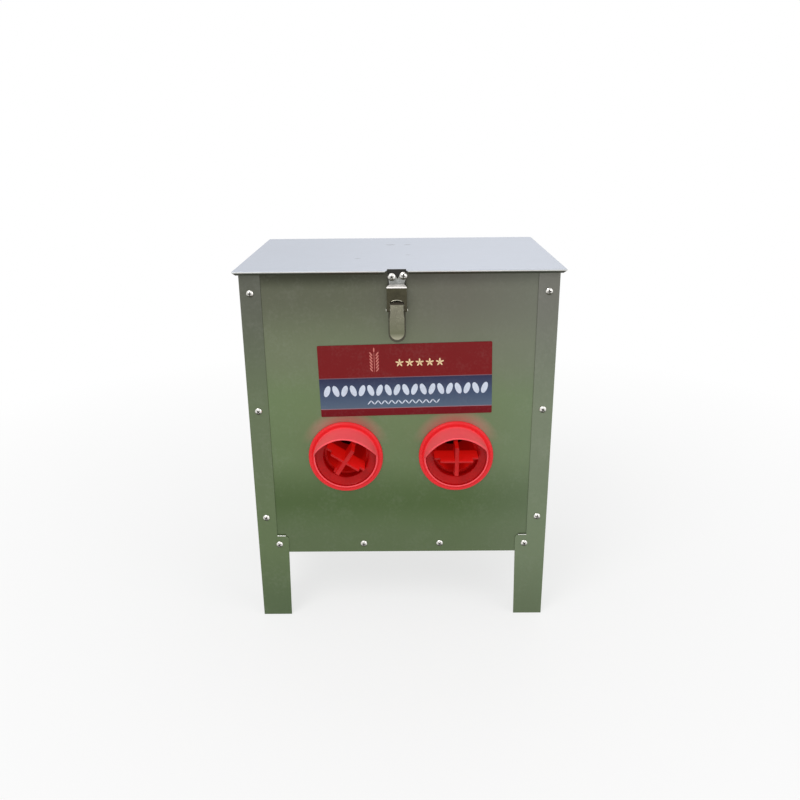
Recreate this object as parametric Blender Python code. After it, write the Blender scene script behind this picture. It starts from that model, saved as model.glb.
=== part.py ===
"""Poultry feeder: a flat-pack bin of galvanised sheet on four sheet legs, with two moulded feeding ports,
a lid hinged at the back and a toggle latch at the front.

Sizes are in millimetres and MM turns them into metres. X runs to the feeder's right as seen from the front,
Y runs back and Z up. In the sizes, y is counted back from the front face of the side panels' flanges.
"""

import math

import bmesh
import bpy
from mathutils import Vector

MM = 0.001

# The bin
BODY_WIDTH = 400.0
BODY_DEPTH = 278.0
HEIGHT = 500.0
FLOOR_HEIGHT = 102.0
SHEET = 0.8
GAP = 0.3
SIDE_FLANGE = 26.5
LEG_WIDTH = 42.0
LEG_SHOULDER = 127.0
LEG_TAPER = 2.2
SHOULDER_RADIUS = 4.0
SHOULDER_LIP = 1.6
ARCH_RADIUS = 14.0
TRAY_FLANGE = 20.0
CORNER_RELIEF = 1.5

# The sloping feed plate
SLOPE_LOW = 145.0
SLOPE_SCREW_RISE = 13.6
SLOPE_TUBE_CLEARANCE = 12.0
SLOPE_FLANGE = 22.0

# The lid
LID_FRONT_OVERHANG = 10.5
LID_SIDE_OVERHANG = 6.0
LID_EDGE_RADIUS = 1.2
LID_LIP = 5.0
LID_LIP_ANGLE = 45.0
LID_SKIRT = 16.0
LID_TAB_WIDTH = 22.0
LID_TAB_LENGTH = 20.5
LID_TAB_Y = -3.0
NOTCH_MARGIN = 0.6
NOTCH_FLARE = 3.5
RIM_END_GAP = 2.0

# Screws and rivets
SCREW_HEAD_RADIUS = 4.4
SCREW_HEAD_HEIGHT = 2.6
SCREW_RADIUS = 2.0
SCREW_HOLE_RADIUS = 2.3
NUT_RADIUS = 4.0
NUT_HEIGHT = 3.0
SCREW_POINT = 1.2
SCREW_CROWN = 0.35
SCREW_SHOULDER = 1.5
SCREW_CROWN_SHARE = 0.7
SCREW_EDGE_DISTANCE = 13.0
SCREW_LOW_Z = 156.7
SCREW_TOP_DROP = 29.5
BOTTOM_SCREW_INSET = 29.0
BOTTOM_SCREW_INNER_X = 53.0
BOTTOM_SCREW_RISE = 13.0
RIVET_HEAD_RADIUS = 3.2
RIVET_HEAD_HEIGHT = 1.5
RIVET_RADIUS = 1.6
RIVET_HOLE_RADIUS = 1.9
RIVET_TAIL_RADIUS = 2.8
RIVET_TAIL_HEIGHT = 0.75
RIVET_CROWN = 0.35
RIVET_CROWN_SHARE = 0.75

# The label
LABEL_WIDTH = 224.5
LABEL_HEIGHT = 97.0
LABEL_THICK = 0.5
LABEL_X = 6.8
LABEL_DROP = 2.0
LABEL_TURN = 1.2
LABEL_CORNER = 1.5

# The feeding ports
PORT_X = 74.0
PORT_DROP = 9.6
PORT_FLANGE_RADIUS = 50.0
PORT_FLANGE_THICK = 4.0
PORT_EDGE_ROUND = 1.8
PORT_LIP_RADIUS = 43.0
PORT_WALL = 2.4
PORT_LIP_ROUND = 0.6
MOUTH_EDGE = 0.5
PORT_LIP_REACH = 7.0
PORT_FUNNEL_REACH = 3.0
HOOD_REACH = 42.5
MOUTH_RADIUS = 30.0
SLEEVE_WALL = 3.5
SLEEVE_LENGTH = 12.0
LOCK_RING_RADIUS = 41.0
LOCK_RING_RIB = 1.6
LOCK_RING_BACK = 3.0
LOCK_RING_INNER = 27.0
LOCK_RING_RIBS = 12
TUBE_RADIUS = 31.0
VANE_HALF_SPAN = 29.3
VANE_FRONT = 21.0
BLADE_THICK = 2.6
BLADE_CENTRE = 21.5
BLADE_END_FRONT = 10.0
POST_THICK = 5.0
POST_CENTRE = 20.0
POST_END_FRONT = -2.0
PORT_SEGMENTS = 40
HOOD_TURN = {"left": 1.0, "right": 6.0}
GRILLE_TURN = {"left": -33.0, "right": 0.0}

# The latch
LATCH_X = -3.2
LATCH_SHEET = 1.2
LATCH_BASE_WIDTH = 22.0
LATCH_BASE_FOOT = 5.7
LATCH_BASE_HEAD = 7.8
LEVER_WIDTH = 16.6
LEVER_HANDLE_WIDTH = 18.8
LEVER_CROWN = 3.8
LEVER_TOP_ARCH = 24.0
LEVER_LENGTH = 48.5
LEVER_FACE_Y = -11.0
LEVER_WALL_DEPTH = 8.6
LEVER_EDGE_DEPTH = 3.0
LEVER_SHOULDER = 4.0
LEVER_NECK = 12.0
LEVER_NECK_SET_BACK = 0.4
LEVER_HANDLE = 9.0
LEVER_SET_BACK = 2.6
LEVER_TIP = 3.0
LEVER_TIP_SET_BACK = 1.4
LEVER_ROUND_MARGIN = 0.05
LEVER_PIVOT_Y = -5.0
LEVER_PIVOT_DROP = 43.5
DRAW_PIVOT_Y = -7.8
DRAW_PIVOT_DROP = 6.4
LATCH_PIN_RADIUS = 1.2
LATCH_PIN_CLEARANCE = 0.2
LATCH_PIN_HEAD_RADIUS = 2.0
LATCH_PIN_HEAD = 1.0
LATCH_EAR_REACH = 3.0
LATCH_EAR_FOOT = 2.0
LATCH_EAR_ROOT = 0.4
DRAW_WIDTH = 25.0
DRAW_EYE_RADIUS = 2.6
DRAW_WEB_RISE = 4.0
DRAW_WEB_BITE = 0.4
DRAW_FACE_BELOW = 1.0
DRAW_WINDOW_MARGIN = 0.5
DRAW_WINDOW_CLEARANCE = 3.3
DRAW_WINDOW_ARCH = 4.8
DRAW_WINDOW_BELOW = 8.0
CLAW_DROP = 22.2
CLAW_RISE = 3.8
CLAW_DEPTH = 5.5
CLAW_TIP_WIDTH = 18.8
CLAW_BEND = ((0.0, 0.0, 0.0), (0.6, 1.5, 0.0), (1.8, 2.3, 0.9))
KEEPER_BLANK_DROP = 2.5
KEEPER_BLANK_MARGIN = 3.0
KEEPER_SHELF_REACH = 1.4
KEEPER_FOOT_HEIGHT = 3.0
KEEPER_NOTCH = 2.5
KEEPER_FOOT_WIDTH = 19.0
KEEPER_SHELF_WIDTH = 17.0
KEEPER_SCREW_OFFSETS = (-6.0, 8.4)
KEEPER_SCREW_DROPS = (9.2, 7.8)
KEEPER_SCREW_HEAD = 4.9
KEEPER_NUT_HEIGHT = 1.8
KEEPER_SCREW_POINT = 0.4
LATCH_RIVET_RISES = (15.2, 35.2)

# The hinges
HINGE_EDGE_DISTANCE = 70.0
HINGE_WIDTH = 50.0
HINGE_LEAF = 1.2
HINGE_BARREL_RADIUS = 3.0
HINGE_PIN_RADIUS = 1.5
HINGE_PIN_CLEARANCE = 0.25
HINGE_MIDDLE_KNUCKLE = 18.0
HINGE_KNUCKLE_GAP = 0.4
HINGE_BODY_LEAF_HEIGHT = 24.0
HINGE_LID_LEAF_HEIGHT = 12.5
HINGE_RIVET_SPACING = 34.0
HINGE_BODY_RIVET_DROP = 14.9
HINGE_LID_RIVET_RISE = 5.6
HINGE_SKIRT_CLEARANCE = 0.6
HINGE_PIN_HEAD_RADIUS = 2.4
HINGE_PIN_HEAD = 1.2

# How far a cutter runs past the sheet that it cuts
CUT = 1.0

# Places that follow from the sizes
HALF_WIDTH = BODY_WIDTH / 2
LAYER = SHEET + GAP
PANEL_Y = LAYER
INNER_HALF_WIDTH = HALF_WIDTH - SHEET - GAP
PANEL_TOP = HEIGHT - SHEET - GAP
LID_HALF_WIDTH = HALF_WIDTH + LID_SIDE_OVERHANG
LID_REAR_Y = BODY_DEPTH + GAP + SHEET
LID_REAR_Z = HEIGHT - LID_SKIRT
HINGE_X = HALF_WIDTH - HINGE_EDGE_DISTANCE
HINGE_Y = BODY_DEPTH - SHEET + HINGE_BARREL_RADIUS
HINGE_Z = LID_REAR_Z - HINGE_SKIRT_CLEARANCE - HINGE_BARREL_RADIUS
SLEEVE_RADIUS = MOUTH_RADIUS + SLEEVE_WALL
SCREW_COLUMN_X = HALF_WIDTH - SCREW_EDGE_DISTANCE
SCREW_HIGH_Z = HEIGHT - SCREW_TOP_DROP
SCREW_COLUMN_Z = (SCREW_LOW_Z, (SCREW_LOW_Z + SCREW_HIGH_Z) / 2, SCREW_HIGH_Z)
BOTTOM_SCREW_OUTER_X = HALF_WIDTH - BOTTOM_SCREW_INSET
BOTTOM_SCREW_X = (-BOTTOM_SCREW_OUTER_X, -BOTTOM_SCREW_INNER_X, BOTTOM_SCREW_INNER_X, BOTTOM_SCREW_OUTER_X)
BOTTOM_SCREW_Z = FLOOR_HEIGHT + BOTTOM_SCREW_RISE
SLOPE_HIGH = SCREW_COLUMN_Z[1] - SLOPE_SCREW_RISE
LEVER_PIVOT_Z = HEIGHT - LEVER_PIVOT_DROP
LEVER_TOP = LEVER_PIVOT_Z + LEVER_CROWN
LEVER_BOTTOM = LEVER_TOP - LEVER_LENGTH
DRAW_PIVOT_Z = LEVER_PIVOT_Z - DRAW_PIVOT_DROP
DRAW_WINDOW_TOP = LEVER_TOP + DRAW_WINDOW_CLEARANCE
CLAW_FRONT_Z = HEIGHT - CLAW_DROP
LATCH_BASE_BOTTOM = LEVER_BOTTOM - LATCH_BASE_FOOT
LATCH_BASE_TOP = LEVER_PIVOT_Z + LATCH_BASE_HEAD
LATCH_RIVET_Z = tuple(LATCH_BASE_BOTTOM + rise for rise in LATCH_RIVET_RISES)
LABEL_Z = LATCH_BASE_BOTTOM - LABEL_DROP - LABEL_HEIGHT / 2
PORT_Z = LABEL_Z - LABEL_HEIGHT / 2 - PORT_DROP - PORT_FLANGE_RADIUS
SLOPE_FRONT, SLOPE_REAR = 3 * LAYER, BODY_DEPTH - 2 * LAYER - SHEET
SLOPE_RISE = (SLOPE_HIGH - SLOPE_LOW) / (SLOPE_REAR - SLOPE_FRONT)
TUBE_END = SLOPE_FRONT + (PORT_Z - TUBE_RADIUS - SLOPE_TUBE_CLEARANCE - SLOPE_LOW) / SLOPE_RISE
FRONT_REACH = HOOD_REACH - PANEL_Y
REAR_REACH = HINGE_Y + HINGE_BARREL_RADIUS
FRONT_Y = (FRONT_REACH - REAR_REACH) / 2

STEEL = ("galvanised_steel", (0.50, 0.52, 0.50), 0.42, 1.0)
LID_STEEL = ("lid_steel", (0.70, 0.72, 0.76), 0.35, 1.0)
ZINC = ("zinc_plate", (0.46, 0.45, 0.40), 0.32, 1.0)
SCREW_STEEL = ("screw_steel", (0.72, 0.71, 0.68), 0.25, 1.0)
RED_PLASTIC = ("red_plastic", (0.80, 0.03, 0.04), 0.38, 0.0)
DARK_RED_PLASTIC = ("red_plastic_grille", (0.66, 0.02, 0.03), 0.40, 0.0)
LABEL_PRINT = ("label_print", (0.40, 0.06, 0.08), 0.35, 0.0)

bodies = {}


# Small helpers for meshes. A shape is a list of points and a list of faces, in millimetres.
def clear_scene():
    for old in list(bpy.data.objects):
        bpy.data.objects.remove(old)


def material(kind):
    """The Principled material of one finish, made once."""
    name, colour, roughness, metallic = kind
    made = bpy.data.materials.get(name)
    if made:
        return made
    made = bpy.data.materials.new(name)
    made.use_nodes = True
    shader = made.node_tree.nodes["Principled BSDF"]
    shader.inputs["Base Color"].default_value = (*colour, 1.0)
    shader.inputs["Roughness"].default_value = roughness
    shader.inputs["Metallic"].default_value = metallic
    made.diffuse_color = (*colour, 1.0)
    return made


def in_metres(point):
    """A point counted from the front face becomes a point of the feeder's own frame."""
    x, y, z = point
    return Vector((x, y + FRONT_Y, z)) * MM


def mesh_of(name, shapes):
    """One mesh from several shapes, with the faces of each closed shape pointing out."""
    made = bmesh.new()
    for points, faces in shapes:
        corners = [made.verts.new(in_metres(point)) for point in points]
        for face in faces:
            made.faces.new([corners[i] for i in face])
    bmesh.ops.recalc_face_normals(made, faces=made.faces)
    mesh = bpy.data.meshes.new(name)
    made.to_mesh(mesh)
    made.free()
    return mesh


def add_object(name, mesh, kind, smooth=False):
    """Put a mesh into the scene with its finish."""
    piece = bpy.data.objects.new(name, mesh)
    bpy.context.scene.collection.objects.link(piece)
    mesh.materials.append(material(kind))
    if smooth:
        mesh.shade_smooth()
        mesh.set_sharp_from_angle(angle=math.radians(35))
    return piece


def solid(name, shapes, kind, smooth=False):
    """A piece made of closed shapes."""
    return add_object(name, mesh_of(name, shapes), kind, smooth)


def sheet(name, points, faces, outward, kind, thick=SHEET):
    """A bent sheet: its outer skin, thickened inwards. outward is the way that the first face looks."""
    mesh = mesh_of(name, [(points, faces)])
    if mesh.polygons[0].normal.dot(Vector(outward)) < 0:
        mesh.flip_normals()
    piece = add_object(name, mesh, kind)
    bend = piece.modifiers.new("sheet thickness", "SOLIDIFY")
    bend.thickness = thick * MM
    bend.offset = -1.0
    bend.solidify_mode = "NON_MANIFOLD"
    bend.nonmanifold_thickness_mode = "CONSTRAINTS"
    return piece


def combine(piece, shapes, operation, label):
    """Cut shapes from a piece, keep what they share with it, or join them to it."""
    tool = bpy.data.objects.new(f"{piece.name} {label}", mesh_of(label, shapes))
    bpy.context.scene.collection.objects.link(tool)
    tool.hide_render = True
    tool.display_type = "WIRE"
    step = piece.modifiers.new(label, "BOOLEAN")
    step.operation = operation
    step.object = tool
    step.solver = "EXACT"
    tool.parent = piece


def prism(outline, axis, start, end):
    """An outline drawn square to an axis and extruded along it: (y, z), (x, z) or (x, y) pairs."""
    count = len(outline)
    order = {"X": lambda a, b, t: (t, a, b), "Y": lambda a, b, t: (a, t, b), "Z": lambda a, b, t: (a, b, t)}
    place = order[axis]
    points = [place(a, b, start) for a, b in outline] + [place(a, b, end) for a, b in outline]
    faces = [tuple(range(count)), tuple(range(2 * count - 1, count - 1, -1))]
    for i in range(count):
        j = (i + 1) % count
        faces.append((i, j, count + j, count + i))
    return points, faces


def circle(centre, radius, segments, turn=0.0):
    """Points round a circle, as an outline."""
    a, b = centre
    steps = [turn + 2 * math.pi * i / segments for i in range(segments)]
    return [(a + radius * math.cos(t), b + radius * math.sin(t)) for t in steps]


def arc(centre, radius, first, last, steps):
    """Points along an arc, with its angles in degrees."""
    angles = [math.radians(first + (last - first) * i / steps) for i in range(steps + 1)]
    return [(centre[0] + radius * math.cos(t), centre[1] + radius * math.sin(t)) for t in angles]


def box(x, y, z):
    """A block from its low and high x, y and z."""
    return prism([(x[0], z[0]), (x[1], z[0]), (x[1], z[1]), (x[0], z[1])], "Y", y[0], y[1])


def rod(axis, centre, radius, start, end, segments=16):
    """A round bar along an axis. centre holds its two other coordinates."""
    return prism(circle(centre, radius, segments), axis, start, end)


def turned(profile, centre, segments, turn=0.0, closed=True):
    """A shape turned about an axis along Y through centre (x, z). profile(angle) gives (radius, y) points.

    A closed profile is a ring. An open one starts and ends on the axis.
    """
    points, faces = [], []
    angles = [2 * math.pi * i / segments for i in range(segments)]
    rings = [profile(angle) for angle in angles]
    count = len(rings[0])
    inner = range(count) if closed else range(1, count - 1)
    for angle, ring in zip(angles, rings):
        for k in inner:
            radius, y = ring[k]
            swing = angle + math.radians(turn)
            points.append((centre[0] + radius * math.cos(swing), y, centre[1] + radius * math.sin(swing)))
    rows = len(inner)
    for i in range(segments):
        j = (i + 1) % segments
        for k in range(rows if closed else rows - 1):
            n = (k + 1) % rows
            faces.append((i * rows + k, i * rows + n, j * rows + n, j * rows + k))
    if not closed:
        first, last = len(points), len(points) + 1
        points += [(centre[0], rings[0][0][1], centre[1]), (centre[0], rings[0][-1][1], centre[1])]
        for i in range(segments):
            j = (i + 1) % segments
            faces.append((first, i * rows, j * rows))
            faces.append((last, j * rows + rows - 1, i * rows + rows - 1))
    return points, faces


def strip(stations, centre_x):
    """A bent strip's outer skin from (y, z, half width) stations along it."""
    points, faces = [], []
    for y, z, half in stations:
        points += [(centre_x - half, y, z), (centre_x + half, y, z)]
    for i in range(len(stations) - 1):
        faces.append((2 * i, 2 * i + 1, 2 * i + 3, 2 * i + 2))
    return points, faces


def holes(places, radius, y, segments=8):
    """Cutters for round holes through the sheets, at (x, z) places, from y[0] to y[1]."""
    return [rod("Y", place, radius, y[0], y[1], segments) for place in places]


# Side panels: each is one sheet, folded round the front and the back as flanges and cut into two legs
def screw_places(side):
    """The (x, z) places of one side's column screws."""
    return [(side * SCREW_COLUMN_X, z) for z in SCREW_COLUMN_Z]


def bottom_places():
    return [(x, BOTTOM_SCREW_Z) for x in BOTTOM_SCREW_X]


def flange_outline(side):
    """(x, z) points of a front or rear flange, from its outer foot round to its outer top."""
    inner, leg = HALF_WIDTH - SIDE_FLANGE, HALF_WIDTH - LEG_WIDTH
    corner = arc((leg + SHOULDER_RADIUS, LEG_SHOULDER - SHOULDER_RADIUS), SHOULDER_RADIUS, 180, 90, 4)
    outline = [(HALF_WIDTH, 0.0), (leg + LEG_TAPER, 0.0)] + corner + [(inner, LEG_SHOULDER), (inner, PANEL_TOP)]
    return [(side * x, z) for x, z in outline + [(HALF_WIDTH, PANEL_TOP)]]


def wall_outline():
    """(y, z) points of the side wall from its front foot to its rear foot, with the arch between them."""
    low, far = LEG_WIDTH + ARCH_RADIUS, BODY_DEPTH - LEG_WIDTH - ARCH_RADIUS
    top = FLOOR_HEIGHT - ARCH_RADIUS
    front = arc((low, top), ARCH_RADIUS, 180, 90, 5)
    rear = arc((far, top), ARCH_RADIUS, 90, 0, 5)
    return [(LEG_WIDTH, 0.0)] + front + rear + [(BODY_DEPTH - LEG_WIDTH, 0.0)]


def side_panel(name, side):
    outline = flange_outline(side)
    count = len(outline)
    front = [(x, 0.0, z) for x, z in outline]
    rear = [(x, BODY_DEPTH, z) for x, z in outline]
    wall = [(side * HALF_WIDTH, y, z) for y, z in wall_outline()]
    points = front + rear + wall
    wall_face = [0] + list(range(2 * count, 2 * count + len(wall))) + [count, 2 * count - 1, count - 1]
    faces = [tuple(range(count)), tuple(range(count, 2 * count)), tuple(wall_face)]
    first, last = [i for i, (x, z) in enumerate(outline) if abs(z - LEG_SHOULDER) < 0.01]
    lip = len(points)
    points += [(outline[i][0], -SHOULDER_LIP, LEG_SHOULDER + SHOULDER_LIP) for i in (first, last)]
    faces.append((first, last, lip + 1, lip))
    panel = sheet(name, points, faces, (0, -1, 0), STEEL)
    reach = (-CUT, BODY_DEPTH + CUT)
    places = screw_places(side) + [(side * BOTTOM_SCREW_OUTER_X, BOTTOM_SCREW_Z)]
    front_cut = holes(places, SCREW_HOLE_RADIUS, (reach[0], PANEL_Y))
    rear_cut = holes(places, SCREW_HOLE_RADIUS, (BODY_DEPTH - PANEL_Y, reach[1]))
    combine(panel, front_cut + rear_cut, "DIFFERENCE", "screw holes")


# Front and rear panels: flat sheets behind the flanges
def flat_panel(name, y, cuts):
    outline = [
        (-INNER_HALF_WIDTH, FLOOR_HEIGHT),
        (INNER_HALF_WIDTH, FLOOR_HEIGHT),
        (INNER_HALF_WIDTH, PANEL_TOP),
        (-INNER_HALF_WIDTH, PANEL_TOP),
    ]
    panel = solid(name, [prism(outline, "Y", y, y + SHEET)], STEEL)
    combine(panel, cuts, "DIFFERENCE", "holes")


def panels():
    places = screw_places(-1) + screw_places(1) + bottom_places()
    front = (PANEL_Y - CUT, PANEL_Y + SHEET + CUT)
    cuts = holes(places, SCREW_HOLE_RADIUS, front)
    cuts += holes([(LATCH_X, z) for z in LATCH_RIVET_Z], RIVET_HOLE_RADIUS, front)
    ports = [(side * PORT_X, PORT_Z) for side in (-1, 1)]
    cuts += holes(ports, SLEEVE_RADIUS + GAP, front, PORT_SEGMENTS)
    flat_panel("front_panel", PANEL_Y, cuts)
    rear_y = BODY_DEPTH - PANEL_Y - SHEET
    rear = (rear_y - CUT, rear_y + SHEET + CUT)
    cuts = holes(places, SCREW_HOLE_RADIUS, rear)
    cuts += holes(hinge_rivet_places("body"), RIVET_HOLE_RADIUS, rear)
    flat_panel("rear_panel", rear_y, cuts)


# Floor tray and sloping feed plate
def floor_tray():
    front, rear = 2 * LAYER, BODY_DEPTH - 2 * LAYER
    half, low, high = INNER_HALF_WIDTH, FLOOR_HEIGHT, FLOOR_HEIGHT + TRAY_FLANGE
    left, right = -half + CORNER_RELIEF, half - CORNER_RELIEF
    near, far = front + CORNER_RELIEF, rear - CORNER_RELIEF
    points = [
        (left, front, low), (right, front, low), (half, near, low), (half, far, low),
        (right, rear, low), (left, rear, low), (-half, far, low), (-half, near, low),
        (left, front, high), (right, front, high), (half, near, high), (half, far, high),
        (right, rear, high), (left, rear, high), (-half, far, high), (-half, near, high),
    ]
    faces = [tuple(range(8)), (0, 1, 9, 8), (2, 3, 11, 10), (4, 5, 13, 12), (6, 7, 15, 14)]
    tray = sheet("floor_tray", points, faces, (0, 0, -1), STEEL)
    cuts = holes(bottom_places(), SCREW_HOLE_RADIUS, (front - CUT, front + LAYER))
    cuts += holes(bottom_places(), SCREW_HOLE_RADIUS, (rear - LAYER, rear + CUT))
    combine(tray, cuts, "DIFFERENCE", "screw holes")


def feed_slope():
    front, rear = SLOPE_FRONT, SLOPE_REAR
    half = INNER_HALF_WIDTH - CORNER_RELIEF
    foot = FLOOR_HEIGHT + SHEET + GAP
    stations = [
        (front, foot, half), (front, SLOPE_LOW, half),
        (rear, SLOPE_HIGH, half), (rear, SLOPE_HIGH + SLOPE_FLANGE, half),
    ]
    points, faces = strip(stations, 0.0)
    slope = sheet("feed_slope", points, faces, (0, -1, 0), STEEL)
    cuts = holes(bottom_places(), SCREW_HOLE_RADIUS, (front - CUT, front + LAYER))
    middle = [(side * SCREW_COLUMN_X, SCREW_COLUMN_Z[1]) for side in (-1, 1)]
    cuts += holes(middle, SCREW_HOLE_RADIUS, (rear - CUT, rear + LAYER))
    combine(slope, cuts, "DIFFERENCE", "screw holes")


# Lid: one sheet with a rounded edge folded in under itself, a skirt at the back and a tab for the latch
def lid_rim():
    """(inset, z) of the rings round the lid, from the flat top to the tip of the folded lip."""
    bend = arc((LID_EDGE_RADIUS, HEIGHT - LID_EDGE_RADIUS), LID_EDGE_RADIUS, 90, 180 + LID_LIP_ANGLE, 5)
    inset, z = bend[-1]
    slope = math.radians(LID_LIP_ANGLE)
    return bend + [(inset + LID_LIP * math.sin(slope), z - LID_LIP * math.cos(slope))]


def lid():
    rim = lid_rim()
    points, faces = [], []
    rim_end = LID_REAR_Y - RIM_END_GAP
    notch = LID_TAB_WIDTH / 2 + NOTCH_MARGIN
    for i, (inset, z) in enumerate(rim):
        x, y = LID_HALF_WIDTH - inset, inset - LID_FRONT_OVERHANG
        half = notch + NOTCH_FLARE * i / (len(rim) - 1)
        points += [(-x, rim_end, z), (-x, y, z), (LATCH_X - half, y, z)]
        points += [(LATCH_X + half, y, z), (x, y, z), (x, rim_end, z)]
    for i in range(len(rim) - 1):
        for k in (0, 1, 3, 4):
            a = 6 * i + k
            faces.append((a, a + 1, a + 7, a + 6))
    edge, tab = LID_HALF_WIDTH - LID_EDGE_RADIUS, LID_TAB_WIDTH / 2
    first = len(points)
    points += [(LATCH_X - notch, LID_TAB_Y, HEIGHT), (LATCH_X - tab, LID_TAB_Y, HEIGHT)]
    points += [(LATCH_X + tab, LID_TAB_Y, HEIGHT), (LATCH_X + notch, LID_TAB_Y, HEIGHT)]
    points += [(edge, LID_REAR_Y, HEIGHT), (-edge, LID_REAR_Y, HEIGHT)]
    tab_low = HEIGHT - LID_TAB_LENGTH
    points += [(LATCH_X - tab, LID_TAB_Y, tab_low), (LATCH_X + tab, LID_TAB_Y, tab_low)]
    points += [(edge, LID_REAR_Y, LID_REAR_Z), (-edge, LID_REAR_Y, LID_REAR_Z)]
    top = (0, 1, 2, first, first + 1, first + 2, first + 3, 3, 4, 5, first + 4, first + 5)
    faces.insert(0, top)
    faces.append((first + 1, first + 2, first + 7, first + 6))
    faces.append((first + 4, first + 5, first + 9, first + 8))
    piece = sheet("lid", points, faces, (0, 0, 1), LID_STEEL)
    cuts = holes(keeper_places(), SCREW_HOLE_RADIUS, (LID_TAB_Y - CUT, LID_TAB_Y + SHEET + CUT))
    cuts += holes(hinge_rivet_places("lid"), RIVET_HOLE_RADIUS, (LID_REAR_Y - SHEET - CUT, LID_REAR_Y + CUT))
    combine(piece, cuts, "DIFFERENCE", "holes")
    bodies.setdefault("lid", []).append(piece)


# Screws with their nuts, and rivets. Each is turned about its own line along Y.
def hexagon(radius, angle):
    """The radius of a hexagon drawn with twelve points."""
    on_flat = round(math.degrees(angle) / 30.0) % 2
    return radius * (math.cos(math.radians(30)) if on_flat else 1.0)


def screw_profile(angle, way, face, nut, head, nut_height, point):
    """(radius, y) from the head's top to the point. face and nut are where the head and the nut seat."""
    under, nut_far = face - way * GAP, nut + way * (GAP + nut_height)
    top = under - way * SCREW_HEAD_HEIGHT
    flat = hexagon(NUT_RADIUS, angle)
    return [
        (0.0, top), (head * SCREW_CROWN_SHARE, top + way * SCREW_CROWN), (head, top + way * SCREW_SHOULDER),
        (head, under), (SCREW_RADIUS, under), (SCREW_RADIUS, nut + way * GAP), (flat, nut + way * GAP),
        (flat, nut_far), (SCREW_RADIUS, nut_far + way * point), (0.0, nut_far + way * point),
    ]


def screw(name, place, way, face, nut, turn, sizes=(SCREW_HEAD_RADIUS, NUT_HEIGHT, SCREW_POINT)):
    """A pan-head screw and its nut at (x, z). way is 1 where it points back, -1 where it points forward."""
    def section(angle):
        return screw_profile(angle, way, face, nut, *sizes)

    return solid(name, [turned(section, place, 12, turn, closed=False)], SCREW_STEEL, smooth=True)


def rivet(name, place, way, face, tail):
    """A dome rivet whose head seats on face and whose thin tail is set against tail."""
    head, under = face - way * (GAP + RIVET_HEAD_HEIGHT), face - way * GAP
    near, far = tail + way * GAP, tail + way * (GAP + RIVET_TAIL_HEIGHT)
    profile = [
        (0.0, head), (RIVET_HEAD_RADIUS * RIVET_CROWN_SHARE, head + way * RIVET_CROWN),
        (RIVET_HEAD_RADIUS, under), (RIVET_RADIUS, under), (RIVET_RADIUS, near),
        (RIVET_TAIL_RADIUS, near), (RIVET_TAIL_RADIUS, far), (0.0, far),
    ]
    return solid(name, [turned(lambda angle: profile, place, 8, closed=False)], SCREW_STEEL, smooth=True)


def body_screws():
    ends = (("front", 1, 0.0), ("rear", -1, BODY_DEPTH))
    for end, way, face in ends:
        for side, word in ((-1, "left"), (1, "right")):
            for row, place in zip(("low", "middle", "high"), screw_places(side)):
                behind = 3 if (end == "rear" and row == "middle") else 2
                nut = face + way * (behind * LAYER - GAP)
                turn = place[1] * 7.0 + side * 20.0
                screw(f"screw_{end}_{word}_{row}", place, way, face, nut, turn)
        for k, place in enumerate(bottom_places()):
            outer = abs(place[0]) > BOTTOM_SCREW_INNER_X
            seat = face if outer else face + way * LAYER
            nut = face + way * ((4 if end == "front" else 3) * LAYER - GAP)
            screw(f"screw_{end}_bottom_{k + 1}", place, way, seat, nut, 31.0 * k)


# Label: a printed plate on the front panel, slightly turned
def label_plate():
    half_x, half_z = LABEL_WIDTH / 2 - LABEL_CORNER, LABEL_HEIGHT / 2 - LABEL_CORNER
    outline = []
    for sx, sz, first in ((1, 1, 0), (-1, 1, 90), (-1, -1, 180), (1, -1, 270)):
        outline += arc((sx * half_x, sz * half_z), LABEL_CORNER, first, first + 90, 3)
    swing = math.radians(LABEL_TURN)
    across, up = math.cos(swing), math.sin(swing)
    turned_outline = [(LABEL_X + x * across - z * up, LABEL_Z + x * up + z * across) for x, z in outline]
    back = PANEL_Y - GAP
    solid("label_plate", [prism(turned_outline, "Y", back - LABEL_THICK, back)], LABEL_PRINT)


# Feeding ports: a moulded flange, lip, hood and sleeve in one, and behind it a lock ring with tube and vanes
def hood_profile(angle):
    """(radius, y) round the port's section. The lip rises into the hood over its upper half."""
    rise = max(0.0, math.sin(angle))
    lip = max(PORT_LIP_REACH, HOOD_REACH * (1 - (1 - rise) ** 2))
    inner, bend, edge = PORT_LIP_RADIUS - PORT_WALL, PORT_LIP_ROUND, PORT_EDGE_ROUND
    section = [
        (MOUTH_RADIUS, -SLEEVE_LENGTH), (MOUTH_RADIUS, MOUTH_EDGE), (inner, PORT_FUNNEL_REACH),
        (inner, lip - bend), (inner + bend, lip), (PORT_LIP_RADIUS - bend, lip),
        (PORT_LIP_RADIUS, lip - bend),
        (PORT_LIP_RADIUS, PORT_FLANGE_THICK), (PORT_FLANGE_RADIUS - edge, PORT_FLANGE_THICK),
        (PORT_FLANGE_RADIUS - edge * 0.3, PORT_FLANGE_THICK - edge * 0.3),
        (PORT_FLANGE_RADIUS, PORT_FLANGE_THICK - edge), (PORT_FLANGE_RADIUS, GAP),
        (SLEEVE_RADIUS, GAP), (SLEEVE_RADIUS, -SLEEVE_LENGTH),
    ]
    return [(radius, PANEL_Y - reach) for radius, reach in section]


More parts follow.
